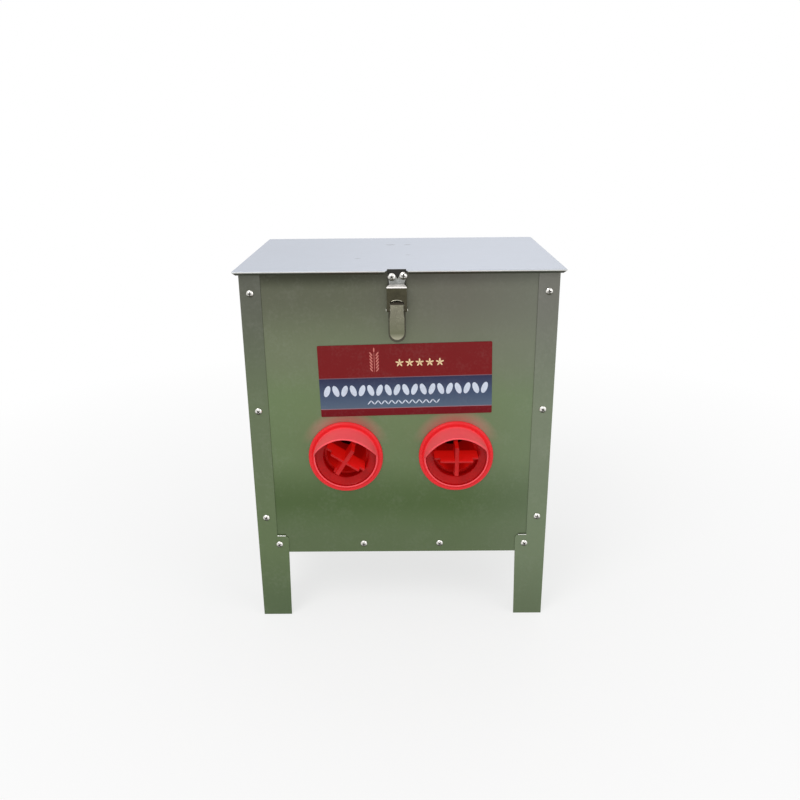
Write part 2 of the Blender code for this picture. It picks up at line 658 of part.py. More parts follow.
def lock_ring_profile(angle):
    """(radius, y) round the section of the lock ring and its tube, with grip ribs on the ring's rim."""
    step = round(angle * 3 * LOCK_RING_RIBS / (2 * math.pi))
    front, back = -SHEET - GAP, -SLEEVE_LENGTH - GAP
    bore, rim = SLEEVE_RADIUS + GAP, LOCK_RING_RADIUS - (LOCK_RING_RIB if step % 3 == 0 else 0.0)
    section = [
        (bore, front), (rim, front), (rim, back - LOCK_RING_BACK), (TUBE_RADIUS, back - LOCK_RING_BACK),
        (TUBE_RADIUS, PANEL_Y - TUBE_END), (LOCK_RING_INNER, PANEL_Y - TUBE_END), (LOCK_RING_INNER, back),
        (bore, back),
    ]
    return [(radius, PANEL_Y - reach) for radius, reach in section]


def vane(centre, turn, thick, half_centre, end_front):
    """One vane of the cross: a plate with a middle that stands forward of its ends."""
    back = -SLEEVE_LENGTH - GAP - LOCK_RING_BACK
    outline = [
        (-VANE_HALF_SPAN, back), (VANE_HALF_SPAN, back), (VANE_HALF_SPAN, end_front),
        (half_centre, end_front), (half_centre, VANE_FRONT), (-half_centre, VANE_FRONT),
        (-half_centre, end_front), (-VANE_HALF_SPAN, end_front),
    ]
    swing = math.radians(turn)
    along, across = (math.cos(swing), math.sin(swing)), (-math.sin(swing), math.cos(swing))
    points = []
    for half in (-thick / 2, thick / 2):
        for u, reach in outline:
            x, z = (centre[k] + along[k] * u + across[k] * half for k in (0, 1))
            points.append((x, PANEL_Y - reach, z))
    count = len(outline)
    faces = [tuple(range(count)), tuple(range(2 * count - 1, count - 1, -1))]
    faces += [(i, (i + 1) % count, count + (i + 1) % count, count + i) for i in range(count)]
    return points, faces


def ports():
    for side, word in ((-1, "left"), (1, "right")):
        centre = (side * PORT_X, PORT_Z)
        hood = turned(hood_profile, centre, PORT_SEGMENTS, HOOD_TURN[word])
        solid(f"port_hood_{word}", [hood], RED_PLASTIC, smooth=True)
        ring = turned(lock_ring_profile, centre, 3 * LOCK_RING_RIBS)
        grille = solid(f"port_grille_{word}", [ring], DARK_RED_PLASTIC, smooth=True)
        turn = GRILLE_TURN[word]
        combine(grille, [vane(centre, turn, BLADE_THICK, BLADE_CENTRE, BLADE_END_FRONT)], "UNION", "blade")
        post = vane(centre, turn + 90, POST_THICK, POST_CENTRE, POST_END_FRONT)
        combine(grille, [post], "UNION", "post")


# Toggle latch: a riveted base with ears, a lever on the upper pin, a draw plate on the lower pin, a keeper
def latch_base():
    back = PANEL_Y - GAP
    face = back - LATCH_SHEET
    half, round_centre = LATCH_BASE_WIDTH / 2, LATCH_BASE_BOTTOM + LATCH_BASE_WIDTH / 2
    outline = arc((LATCH_X, round_centre), half, 180, 360, 10)
    outline += [(LATCH_X + half, LATCH_BASE_TOP), (LATCH_X - half, LATCH_BASE_TOP)]
    piece = solid("latch_base", [prism(outline, "Y", face, back)], ZINC)
    outer = LEVER_WIDTH / 2 - LATCH_SHEET - GAP
    root = back - LATCH_EAR_ROOT
    low = LEVER_PIVOT_Z - LATCH_EAR_REACH - LATCH_EAR_FOOT
    ear = [(root, low), (root, LEVER_PIVOT_Z + LATCH_EAR_REACH)]
    ear += arc((LEVER_PIVOT_Y, LEVER_PIVOT_Z), LATCH_EAR_REACH, 90, 270, 8)
    for k, sign in enumerate((-1, 1)):
        edges = sorted((LATCH_X + sign * outer, LATCH_X + sign * (outer - LATCH_SHEET)))
        combine(piece, [prism(ear, "X", *edges)], "UNION", f"ear {k + 1}")
    pivot = (LEVER_PIVOT_Y, LEVER_PIVOT_Z)
    bore = rod("X", pivot, LATCH_PIN_RADIUS + LATCH_PIN_CLEARANCE, LATCH_X - half, LATCH_X + half, 10)
    cuts = holes([(LATCH_X, z) for z in LATCH_RIVET_Z], RIVET_HOLE_RADIUS, (face - CUT, back + CUT))
    combine(piece, [bore] + cuts, "DIFFERENCE", "holes")
    for k, z in enumerate(LATCH_RIVET_Z):
        rivet(f"latch_rivet_{k + 1}", (LATCH_X, z), 1, face, PANEL_Y + SHEET)


def latch_lever():
    """A channel whose walls are deep at the pins and shallow at its wider handle, with its tip curled out."""
    top, low = LEVER_TOP, LEVER_BOTTOM
    narrow, wide = LEVER_WIDTH / 2, LEVER_HANDLE_WIDTH / 2
    neck = DRAW_PIVOT_Z - LEVER_NECK
    stations = [
        (top, 0.0, LEVER_WALL_DEPTH, narrow), (DRAW_PIVOT_Z - LEVER_SHOULDER, 0.0, LEVER_WALL_DEPTH, narrow),
        (neck, LEVER_NECK_SET_BACK, LEVER_EDGE_DEPTH, wide),
        (low + LEVER_HANDLE, LEVER_SET_BACK, LEVER_EDGE_DEPTH, wide),
        (low + LEVER_TIP, LEVER_SET_BACK, LEVER_EDGE_DEPTH, wide),
        (low - CUT, LEVER_TIP_SET_BACK, LEVER_EDGE_DEPTH, wide),
    ]
    points, faces = [], []
    for z, set_back, depth, half in stations:
        y = LEVER_FACE_Y + set_back
        points += [(LATCH_X - half, y + depth, z), (LATCH_X - half, y, z)]
        points += [(LATCH_X + half, y, z), (LATCH_X + half, y + depth, z)]
    for i in range(len(stations) - 1):
        faces += [(4 * i + k, 4 * i + k + 1, 4 * i + k + 5, 4 * i + k + 4) for k in (1, 0, 2)]
    piece = sheet("latch_lever", points, faces, (0, -1, 0), ZINC, LATCH_SHEET)
    swing = math.degrees(math.asin((wide + CUT) / LEVER_TOP_ARCH))
    outline = arc((LATCH_X, low + wide), wide - LEVER_ROUND_MARGIN, 180, 360, 12)
    outline += [(LATCH_X + wide - LEVER_ROUND_MARGIN, neck), (LATCH_X + wide + CUT, neck)]
    outline += arc((LATCH_X, top - LEVER_TOP_ARCH), LEVER_TOP_ARCH, 90 - swing, 90 + swing, 8)
    outline += [(LATCH_X - wide - CUT, neck), (LATCH_X - wide + LEVER_ROUND_MARGIN, neck)]
    reach = (LEVER_FACE_Y - CUT, LEVER_FACE_Y + LEVER_WALL_DEPTH + CUT)
    combine(piece, [prism(outline, "Y", *reach)], "INTERSECT", "outline")
    bore = LATCH_PIN_RADIUS + LATCH_PIN_CLEARANCE
    pivots = ((LEVER_PIVOT_Y, LEVER_PIVOT_Z), (DRAW_PIVOT_Y, DRAW_PIVOT_Z))
    cuts = [rod("X", pivot, bore, LATCH_X - wide - CUT, LATCH_X + wide + CUT, 10) for pivot in pivots]
    combine(piece, cuts, "DIFFERENCE", "pin holes")
    bodies.setdefault("lever", []).append(piece)


def claw_line():
    """(y, z, half width) down the outer skin of the claw and the draw plate's face."""
    half = DRAW_WIDTH / 2
    bend = [(LEVER_FACE_Y + back, CLAW_FRONT_Z + up, half - less) for back, up, less in CLAW_BEND]
    return bend + [(LEVER_FACE_Y + CLAW_DEPTH, CLAW_FRONT_Z + CLAW_RISE, CLAW_TIP_WIDTH / 2)]


def latch_draw_plate():
    half = DRAW_WIDTH / 2
    window = LEVER_WIDTH / 2 + DRAW_WINDOW_MARGIN
    stations = [(LEVER_FACE_Y, DRAW_PIVOT_Z - DRAW_FACE_BELOW, half)] + claw_line()
    points, faces = strip(stations, LATCH_X)
    piece = sheet("latch_draw_plate", points, faces, (0, -1, 0), ZINC, LATCH_SHEET)
    root = LEVER_FACE_Y + DRAW_WEB_BITE
    web_outline = [(DRAW_PIVOT_Y, DRAW_PIVOT_Z), (root, DRAW_PIVOT_Z + DRAW_WEB_RISE), (root, DRAW_PIVOT_Z)]
    for k, sign in enumerate((-1, 1)):
        edges = sorted((LATCH_X + sign * window, LATCH_X + sign * half))
        eye = rod("X", (DRAW_PIVOT_Y, DRAW_PIVOT_Z), DRAW_EYE_RADIUS, *edges, 16)
        combine(piece, [eye], "UNION", f"eye {k + 1}")
        combine(piece, [prism(web_outline, "X", *edges)], "UNION", f"eye web {k + 1}")
    arch_low, share = DRAW_WINDOW_TOP - DRAW_WINDOW_ARCH, DRAW_WINDOW_ARCH / window
    arch = [(x, arch_low + share * rise) for x, rise in arc((LATCH_X, 0.0), window, 0, 180, 10)]
    foot = DRAW_PIVOT_Z - DRAW_WINDOW_BELOW
    arch += [(LATCH_X - window, foot), (LATCH_X + window, foot)]
    combine(piece, [prism(arch, "Y", LEVER_FACE_Y - CUT, 0.0)], "DIFFERENCE", "window")
    pivot, radius = (DRAW_PIVOT_Y, DRAW_PIVOT_Z), LATCH_PIN_RADIUS + LATCH_PIN_CLEARANCE
    bore = rod("X", pivot, radius, LATCH_X - half - CUT, LATCH_X + half + CUT, 10)
    combine(piece, [bore], "DIFFERENCE", "pin hole")
    bodies.setdefault("draw", []).append(piece)


def headed_pin(name, centre, half_length, radius, head_radius, head, middle_x):
    """A pin along X with a head at each end."""
    profile = [
        (0.0, -half_length - head), (head_radius, -half_length - head), (head_radius, -half_length),
        (radius, -half_length), (radius, half_length), (head_radius, half_length),
        (head_radius, half_length + head), (0.0, half_length + head),
    ]
    points, faces = turned(lambda angle: profile, (0.0, 0.0), 10, closed=False)
    along_x = [(middle_x + y, centre[0] + x, centre[1] + z) for x, y, z in points]
    return solid(name, [(along_x, faces)], SCREW_STEEL, smooth=True)


def latch_pins():
    sizes = (LATCH_PIN_RADIUS, LATCH_PIN_HEAD_RADIUS, LATCH_PIN_HEAD, LATCH_X)
    headed_pin("latch_lever_pin", (LEVER_PIVOT_Y, LEVER_PIVOT_Z), LEVER_WIDTH / 2 + GAP, *sizes)
    pin = headed_pin("latch_draw_pin", (DRAW_PIVOT_Y, DRAW_PIVOT_Z), DRAW_WIDTH / 2 + GAP, *sizes)
    bodies.setdefault("lever", []).append(pin)


def keeper_places():
    offsets = zip(KEEPER_SCREW_OFFSETS, KEEPER_SCREW_DROPS)
    return [(LATCH_X + across, HEIGHT - drop) for across, drop in offsets]


def latch_keeper():
    """A plate with two ears on the lid's tab and a shelf at its foot that the claw bears on."""
    front = LID_TAB_Y - GAP - LATCH_SHEET
    tip_y, tip_z = LEVER_FACE_Y + CLAW_DEPTH, CLAW_FRONT_Z + CLAW_RISE
    bend_back, bend_up, _ = CLAW_BEND[-1]
    slope = (CLAW_RISE - bend_up) / (CLAW_DEPTH - bend_back)
    drop = (LATCH_SHEET + GAP) * math.hypot(1.0, slope)
    shelf_y = LEVER_FACE_Y + LATCH_SHEET + KEEPER_SHELF_REACH
    foot_z = tip_z - drop + slope * (front - tip_y)
    shelf_z = tip_z - drop + slope * (shelf_y - tip_y)
    foot, ear = KEEPER_FOOT_WIDTH / 2, SCREW_HEAD_RADIUS
    blank = foot + KEEPER_BLANK_MARGIN
    shelf = KEEPER_SHELF_WIDTH / 2
    stations = [(front, HEIGHT - KEEPER_BLANK_DROP, blank), (front, foot_z, blank), (shelf_y, shelf_z, shelf)]
    points, faces = strip(stations, LATCH_X)
    piece = sheet("latch_keeper", points, faces, (0, -1, 0), ZINC, LATCH_SHEET)
    left, right = keeper_places()
    low, shoulder = shelf_z - 2 * LATCH_SHEET, foot_z + KEEPER_FOOT_HEIGHT
    outline = [(LATCH_X - foot, low), (LATCH_X + foot, low), (LATCH_X + foot, shoulder)]
    outline += arc(right, ear, 0, 150, 6) + [((left[0] + right[0]) / 2, left[1] - KEEPER_NOTCH)]
    outline += arc(left, ear, 30, 180, 6) + [(LATCH_X - foot, shoulder)]
    combine(piece, [prism(outline, "Y", shelf_y - 2 * CUT, front + 2 * CUT)], "INTERSECT", "outline")
    cuts = holes(keeper_places(), SCREW_HOLE_RADIUS, (front - CUT, front + LATCH_SHEET + CUT))
    combine(piece, cuts, "DIFFERENCE", "screw holes")
    bodies.setdefault("lid", []).append(piece)
    sizes = (KEEPER_SCREW_HEAD, KEEPER_NUT_HEIGHT, KEEPER_SCREW_POINT)
    for k, place in enumerate(keeper_places()):
        nut = LID_TAB_Y + SHEET
        bolt = screw(f"keeper_screw_{k + 1}", place, 1, front, nut, 40.0 + 65.0 * k, sizes)
        bodies["lid"].append(bolt)


# Hinges behind the bin, under the lid's skirt
def hinge_rivet_places(leaf):
    low = HINGE_Z - HINGE_BODY_RIVET_DROP
    high = LID_REAR_Z + HINGE_LID_RIVET_RISE
    z = {"body": low, "lid": high}[leaf]
    half = HINGE_RIVET_SPACING / 2
    return [(side * HINGE_X + way * half, z) for side in (-1, 1) for way in (-1, 1)]


def hinge_leaf(name, middle, plate_y, plate_z, tongues):
    """One leaf: a plate, tongues up to the barrel, and a knuckle at each tongue, bored for the pin."""
    half = HINGE_WIDTH / 2
    piece = solid(name, [box((middle - half, middle + half), plate_y, plate_z)], ZINC)
    edge = plate_z[1] if plate_z[1] < HINGE_Z else plate_z[0]
    overlap = CUT if edge < HINGE_Z else -CUT
    tongue_z = sorted((edge - overlap, HINGE_Z))
    for k, (first, last) in enumerate(tongues):
        place = (middle + first, middle + last)
        combine(piece, [box(place, plate_y, tongue_z)], "UNION", f"tongue {k + 1}")
        knuckle = rod("X", (HINGE_Y, HINGE_Z), HINGE_BARREL_RADIUS, *place, 16)
        combine(piece, [knuckle], "UNION", f"knuckle {k + 1}")
    radius = HINGE_PIN_RADIUS + HINGE_PIN_CLEARANCE
    bore = rod("X", (HINGE_Y, HINGE_Z), radius, middle - half - CUT, middle + half + CUT, 10)
    cuts = [p for p in hinge_rivet_places("body") + hinge_rivet_places("lid") if abs(p[0] - middle) < half]
    reach = (plate_y[0] - CUT, plate_y[1] + CUT)
    cutters = [bore] + holes([p for p in cuts if plate_z[0] < p[1] < plate_z[1]], RIVET_HOLE_RADIUS, reach)
    combine(piece, cutters, "DIFFERENCE", "holes")
    return piece


def hinges():
    body_y = (BODY_DEPTH - PANEL_Y + GAP, BODY_DEPTH - PANEL_Y + GAP + HINGE_LEAF)
    lid_y = (LID_REAR_Y + GAP, LID_REAR_Y + GAP + HINGE_LEAF)
    clear = HINGE_BARREL_RADIUS + HINGE_SKIRT_CLEARANCE
    body_z = (HINGE_Z - HINGE_BODY_LEAF_HEIGHT, HINGE_Z - clear)
    lid_z = (HINGE_Z + clear, LID_REAR_Z + HINGE_LID_LEAF_HEIGHT)
    half, middle = HINGE_WIDTH / 2, HINGE_MIDDLE_KNUCKLE / 2
    outer = middle + HINGE_KNUCKLE_GAP
    for side, word in ((-1, "left"), (1, "right")):
        x = side * HINGE_X
        hinge_leaf(f"hinge_body_leaf_{word}", x, body_y, body_z, [(-half, -outer), (outer, half)])
        leaf = hinge_leaf(f"hinge_lid_leaf_{word}", x, lid_y, lid_z, [(-middle, middle)])
        sizes = (HINGE_PIN_RADIUS, HINGE_PIN_HEAD_RADIUS, HINGE_PIN_HEAD, x)
        headed_pin(f"hinge_pin_{word}", (HINGE_Y, HINGE_Z), half + GAP, *sizes)
        bodies.setdefault("lid", []).append(leaf)
    for k, place in enumerate(hinge_rivet_places("body")):
        rivet(f"hinge_body_rivet_{k + 1}", place, -1, body_y[1], BODY_DEPTH - PANEL_Y - SHEET)
    for k, place in enumerate(hinge_rivet_places("lid")):
        bodies["lid"].append(rivet(f"hinge_lid_rivet_{k + 1}", place, -1, lid_y[1], LID_REAR_Y - SHEET))


# Joint axes: each moving piece hangs on an empty that stands on its axis
def add_axis(name, y, z, parent=None):
    axis = bpy.data.objects.new(name, None)
    bpy.context.scene.collection.objects.link(axis)
    axis.location = in_metres((LATCH_X if "latch" in name else 0.0, y, z))
    if parent:
        axis.location -= parent.location
        axis.parent = parent
    return axis


def hang_on(axis, place, pieces):
    for piece in pieces:
        piece.parent = axis
        piece.location = -place


def joint_axes():
    lid_axis = add_axis("lid_axis", HINGE_Y, HINGE_Z)
    lever_axis = add_axis("latch_lever_axis", LEVER_PIVOT_Y, LEVER_PIVOT_Z)
    lever_place = lever_axis.location.copy()
    draw_axis = add_axis("latch_draw_axis", DRAW_PIVOT_Y, DRAW_PIVOT_Z, lever_axis)
    hang_on(lid_axis, lid_axis.location.copy(), bodies["lid"])
    hang_on(lever_axis, lever_place, bodies["lever"])
    hang_on(draw_axis, lever_place + draw_axis.location, bodies["draw"])


clear_scene()
side_panel("side_panel_left", -1)
side_panel("side_panel_right", 1)
panels()
floor_tray()
feed_slope()
lid()
label_plate()
ports()
latch_base()
latch_lever()
latch_draw_plate()
latch_pins()
latch_keeper()
hinges()
body_screws()
joint_axes()
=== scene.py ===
"""Poultry feeder: a flat-pack bin of galvanised sheet with two red feeding ports, dressed over its CAD frame.

Lengths are in metres. X runs to the feeder's right seen from the front, Y runs back and Z up.
Colours are given as they look on screen, from 0 to 255, and paint() turns them into the shader's numbers.
"""

import math

import bmesh
import bpy
from mathutils import Matrix, Vector


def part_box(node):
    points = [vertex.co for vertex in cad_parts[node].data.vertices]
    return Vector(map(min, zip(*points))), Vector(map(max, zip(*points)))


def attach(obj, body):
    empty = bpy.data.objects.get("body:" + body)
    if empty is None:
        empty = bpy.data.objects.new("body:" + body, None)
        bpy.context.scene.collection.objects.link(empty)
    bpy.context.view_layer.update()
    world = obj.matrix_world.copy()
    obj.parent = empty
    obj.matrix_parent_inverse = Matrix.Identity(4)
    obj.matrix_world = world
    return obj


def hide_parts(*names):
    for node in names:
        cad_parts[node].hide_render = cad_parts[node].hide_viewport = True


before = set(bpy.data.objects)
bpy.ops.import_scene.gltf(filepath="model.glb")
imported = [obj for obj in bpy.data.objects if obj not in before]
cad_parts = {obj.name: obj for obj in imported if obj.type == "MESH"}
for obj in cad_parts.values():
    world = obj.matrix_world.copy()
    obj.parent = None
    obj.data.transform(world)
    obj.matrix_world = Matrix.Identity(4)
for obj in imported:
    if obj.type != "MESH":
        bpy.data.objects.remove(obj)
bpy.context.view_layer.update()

# Side panels
# Each side is one 0.8 mm sheet of galvanised steel, folded round the front and the back as flanges.
# It is cut out between its two legs, and a shoulder lip above each leg is bent forward.
MM = 0.001
TOP = 500.0 * MM
FRONT_Y = -120.9 * MM
PANEL_EDGE = 0.22 * MM
SPANGLE_MEAN = 1.4
RUB_SHARE = 0.05
PALE_RUB = (196, 196, 188)
LIP_PAINTED_HIGHLIGHT = (232, 234, 226)
MERGE_GAP = 0.002 * MM
FLAT_ANGLE, SMOOTH_ANGLE, BEVEL_ANGLE = math.radians(0.5), math.radians(35), math.radians(40)
# Each side's tone by height is painted light: a painted reflection of grass in its green, and the right side
# painted lighter than the left.
SIDE_PAINTED_LIGHT_STOPS = {
    "left": ((0.0, (87, 104, 72)), (0.24, (99, 116, 80)), (0.6, (102, 115, 86)), (0.97, (93, 95, 84))),
    "right": ((0.0, (98, 112, 84)), (0.24, (112, 126, 98)), (0.6, (118, 128, 106)), (0.97, (112, 112, 104))),
}


def paint(red, green, blue):
    """A colour picked on screen, as the shader's own four numbers."""
    shares = [part / 255 for part in (red, green, blue)]
    return (*(s / 12.92 if s <= 0.04045 else ((s + 0.055) / 1.055) ** 2.4 for s in shares), 1.0)


def put(tree, kind, inputs=None, **settings):
    """A node with its settings, whose inputs are numbers or the sockets that feed them."""
    made = tree.nodes.new(kind)
    for name, value in settings.items():
        setattr(made, name, value)
    for key, value in (inputs or {}).items():
        if isinstance(value, bpy.types.NodeSocket):
            tree.links.new(value, made.inputs[key])
        else:
            made.inputs[key].default_value = value
    return made


def sums(tree, operation, first, second, third=0.0):
    return put(tree, "ShaderNodeMath", {0: first, 1: second, 2: third}, operation=operation).outputs[0]


def product(tree, *shares):
    whole = shares[0]
    for share in shares[1:]:
        whole = sums(tree, "MULTIPLY", whole, share)
    return whole


def spread(tree, value, start, end, low=0.0, high=1.0):
    """A number that goes from low to high while the value goes from start to end."""
    inputs = {"Value": value, "From Min": start, "From Max": end, "To Min": low, "To Max": high}
    return put(tree, "ShaderNodeMapRange", inputs).outputs[0]


def object_place(tree):
    return put(tree, "ShaderNodeTexCoord").outputs["Object"]


def along(tree, axis, start, end):
    """A mask that grows along an axis of the feeder, from start to end."""
    part = put(tree, "ShaderNodeSeparateXYZ", {0: object_place(tree)}).outputs[axis]
    return spread(tree, part, start, end)


def noise(tree, place, scale, detail, roughness=0.5):
    inputs = {"Vector": place, "Scale": scale, "Detail": detail, "Roughness": roughness}
    return put(tree, "ShaderNodeTexNoise", inputs).outputs[0]


def blend_colours(tree, share, first, second, kind="MIX"):
    inputs = {0: share, 6: first, 7: second}
    return put(tree, "ShaderNodeMix", inputs, data_type="RGBA", blend_type=kind).outputs[2]


def shaded(tree, colour, gain):
    """A colour made lighter or darker by a gain."""
    grey = put(tree, "ShaderNodeCombineColor", {0: gain, 1: gain, 2: gain}).outputs[0]
    return blend_colours(tree, 1.0, colour, grey, "MULTIPLY")


def ramp_colours(tree, share, stops, interpolation="LINEAR"):
    """Colours that follow a share, by stops of (position, colour)."""
    ramp = put(tree, "ShaderNodeValToRGB", {0: share})
    ramp.color_ramp.interpolation = interpolation
    while len(ramp.color_ramp.elements) < len(stops):
        ramp.color_ramp.elements.new(1.0)
    for element, (position, colour) in zip(ramp.color_ramp.elements, stops):
        element.position = position
        element.color = paint(*colour)
    return ramp.outputs[0]


def new_group(name, kind, inputs, outputs):
    """An empty node group with its named sockets. Inputs hold (name, type, value)."""
    tree = bpy.data.node_groups.new(name, kind)
    for label, socket, value in inputs:
        made = tree.interface.new_socket(name=label, in_out="INPUT", socket_type=f"NodeSocket{socket}")
        if value is not None:
            made.default_value = value
    for label, socket in outputs:
        tree.interface.new_socket(name=label, in_out="OUTPUT", socket_type=f"NodeSocket{socket}")
    return tree, tree.nodes.new("NodeGroupInput").outputs, tree.nodes.new("NodeGroupOutput")


def zinc_spangle_group():
    """Zinc crystals, drifts of tone and fine rolling lines over a base colour."""
    inputs = (("Color", "Color", None), ("Crystals", "Float", 200.0), ("Contrast", "Float", 0.1),
              ("Roughness", "Float", 0.4))
    outputs = (("Color", "Color"), ("Roughness", "Float"), ("Height", "Float"))
    tree, given, result = new_group("zinc_spangle", "ShaderNodeTree", inputs, outputs)
    place = object_place(tree)
    crystals = put(tree, "ShaderNodeTexVoronoi", {"Vector": place, "Scale": given["Crystals"]})
    facet = put(tree, "ShaderNodeSeparateColor", {0: crystals.outputs["Color"]}).outputs[0]
    drift = noise(tree, place, scale=11.0, detail=5.0)
    stretched = put(tree, "ShaderNodeMapping", {"Vector": place, "Scale": (420.0, 420.0, 6.0)}).outputs[0]
    lines = noise(tree, stretched, scale=1.0, detail=3.0)
    grain = noise(tree, place, scale=1600.0, detail=2.0)
    broad = sums(tree, "MULTIPLY_ADD", facet, 0.5, sums(tree, "MULTIPLY", drift, 1.3))
    fine = sums(tree, "MULTIPLY_ADD", lines, 0.6, sums(tree, "MULTIPLY", grain, 0.4))
    tone = sums(tree, "ADD", broad, fine)
    swing = sums(tree, "MULTIPLY", sums(tree, "SUBTRACT", tone, SPANGLE_MEAN), given["Contrast"])
    colour = shaded(tree, given["Color"], sums(tree, "ADD", swing, 1.0))
    rough = sums(tree, "ADD", given["Roughness"], sums(tree, "MULTIPLY", swing, 0.55))
    height = sums(tree, "MULTIPLY_ADD", facet, 0.35, sums(tree, "MULTIPLY", grain, 0.4))
    tree.links.new(colour, result.inputs["Color"])
    tree.links.new(rough, result.inputs["Roughness"])
    tree.links.new(height, result.inputs["Height"])
    return tree


def rub_marks_group():
    """A mask of dust specks, short scratches and rubbed patches."""
    inputs = (("Scale", "Float", 60.0), ("Amount", "Float", 0.5), ("Stretch", "Vector", (1.0, 1.0, 1.0)))
    tree, given, result = new_group("rub_marks", "ShaderNodeTree", inputs, (("Mask", "Float"),))
    place = object_place(tree)
    stretched = {0: place, 1: given["Stretch"]}
    stretched = put(tree, "ShaderNodeVectorMath", stretched, operation="MULTIPLY").outputs[0]
    cloud = noise(tree, stretched, given["Scale"], detail=8.0, roughness=0.72)
    fine = noise(tree, place, sums(tree, "MULTIPLY", given["Scale"], 9.0), detail=3.0)
    mixed = sums(tree, "MULTIPLY_ADD", fine, 0.45, sums(tree, "MULTIPLY", cloud, 0.75))
    mask = spread(tree, mixed, 0.60, 0.80)
    tree.links.new(sums(tree, "MULTIPLY", mask, given["Amount"]), result.inputs["Mask"])
    return tree


ZINC_SPANGLE = zinc_spangle_group()
RUB_MARKS = rub_marks_group()


def spangled(tree, colour, crystals, contrast, roughness):
    """The outputs of the zinc spangle over a colour."""
    inputs = {"Color": colour, "Crystals": crystals, "Contrast": contrast, "Roughness": roughness}
    return put(tree, "ShaderNodeGroup", inputs, node_tree=ZINC_SPANGLE).outputs


def rub_mask(tree, scale, amount, stretch=(1.0, 1.0, 1.0)):
    inputs = {"Scale": scale, "Amount": amount, "Stretch": stretch}
    return put(tree, "ShaderNodeGroup", inputs, node_tree=RUB_MARKS).outputs[0]


def finish_of(name, metallic=0.0, roughness=0.5):
    """A new material with its node tree and its Principled shader."""
    made = bpy.data.materials.new(name)
    made.use_nodes = True
    shader = made.node_tree.nodes["Principled BSDF"]
    shader.inputs["Metallic"].default_value = metallic
    shader.inputs["Roughness"].default_value = roughness
    return made, made.node_tree, shader


def bump(tree, shader, height, strength, distance):
    made = put(tree, "ShaderNodeBump", {"Strength": strength, "Distance": distance, "Height": height})
    tree.links.new(made.outputs[0], shader.inputs["Normal"])


def galvanised(name, stops, roughness=0.36, contrast=0.05, crystals=210.0):
    """Galvanised sheet, with its tone by height as painted reflection and shade, its crystals and its rub
    marks.
    """
    made, tree, shader = finish_of(name, metallic=0.55)
    tone = ramp_colours(tree, along(tree, "Z", 0.0, TOP), stops, "EASE")
    zinc = spangled(tree, tone, crystals, contrast, roughness)
    rubs = rub_mask(tree, scale=26.0, amount=RUB_SHARE)
    colour = blend_colours(tree, rubs, zinc["Color"], paint(*PALE_RUB))
    tree.links.new(colour, shader.inputs["Base Color"])
    tree.links.new(zinc["Roughness"], shader.inputs["Roughness"])
    bump(tree, shader, zinc["Height"], strength=0.25, distance=0.08 * MM)
    return made


def tinted(finish, colour, *shares):
    """Blend a colour over a finish, by the product of masks in its own tree."""
    tree = finish.node_tree
    socket = tree.nodes["Principled BSDF"].inputs["Base Color"]
    under = socket.links[0].from_socket
    tree.links.new(blend_colours(tree, product(tree, *shares), under, paint(*colour)), socket)


def placed(name, data):
    """A new object in the scene."""
    made = bpy.data.objects.new(name, data)
    bpy.context.scene.collection.objects.link(made)
    return made


def softened(node, finish, body, width):
    """A CAD node's own shape with its sheared edges rounded, standing in for the node."""
    shape = bmesh.new()
    shape.from_mesh(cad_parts[node].data)
    bmesh.ops.remove_doubles(shape, verts=shape.verts, dist=MERGE_GAP)
    bmesh.ops.dissolve_limit(shape, angle_limit=FLAT_ANGLE, verts=shape.verts, edges=shape.edges)
    mesh = bpy.data.meshes.new(f"{node}_finished")
    shape.to_mesh(mesh)
    shape.free()
    piece = placed(mesh.name, mesh)
    mesh.materials.clear()
    mesh.materials.append(finish)
    mesh.shade_smooth()
    mesh.set_sharp_from_angle(angle=SMOOTH_ANGLE)
    edge = piece.modifiers.new("rounded edges", "BEVEL")
    edge.width = width
    edge.segments = 2
    edge.limit_method = "ANGLE"
    edge.angle_limit = BEVEL_ANGLE
    edge.use_clamp_overlap = True
    flat = piece.modifiers.new("flat faces", "WEIGHTED_NORMAL")
    flat.keep_sharp = True
    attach(piece, body)
    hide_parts(node)
    return piece


for word in ("left", "right"):
    side_zinc = galvanised(f"side_panel_{word}_zinc", SIDE_PAINTED_LIGHT_STOPS[word])
    # A painted highlight on the shoulder lips, which stand in front of the front face.
    tinted(side_zinc, LIP_PAINTED_HIGHLIGHT, along(side_zinc.node_tree, "Y", FRONT_Y - 0.3 * MM, FRONT_Y - 0.6 * MM))
    softened(f"side_panel_{word}", side_zinc, "bin", PANEL_EDGE)

# Front panel
# A flat galvanised sheet behind the side panels' flanges, cut out for the two ports.
# It faces grass and open ground, so its tone is painted reflection: grey-brown under the lid to a soft green
# at the foot, with a painted shadow just below the lid.
PORT_X, PORT_Z = 74.0 * MM, 247.5 * MM
HOOD_REFLECTION_RISE, HOOD_REFLECTION_FULL, HOOD_REFLECTION_NONE = 6.0 * MM, 42.0 * MM, 62.0 * MM
HOOD_REFLECTION_SHARE, HOOD_REFLECTION_TONE = 0.62, (214, 134, 132)
OPEN_GROUND_REFLECTION_SHARE, OPEN_GROUND_REFLECTION_TONE = 0.45, (112, 108, 102)
RIGHT_PAINTED_LIGHT_SHARE, RIGHT_PAINTED_LIGHT_TONE = 0.30, (124, 134, 118)
GRASS_REFLECTION_SHARE, GRASS_REFLECTION_TONE = 0.35, (100, 108, 86)
# Painted reflection of grass by height, with a dark painted shadow of the lid at the top.
FRONT_PAINTED_LIGHT_STOPS = (
    (0.27, (86, 107, 66)), (0.36, (78, 98, 57)), (0.51, (104, 122, 84)), (0.65, (107, 125, 87)),
    (0.782, (111, 120, 93)), (0.944, (94, 97, 79)), (0.985, (58, 60, 44)),
)


def distance_from(tree, point):
    inputs = {0: object_place(tree), 1: point}
    return put(tree, "ShaderNodeVectorMath", inputs, operation="DISTANCE").outputs["Value"]


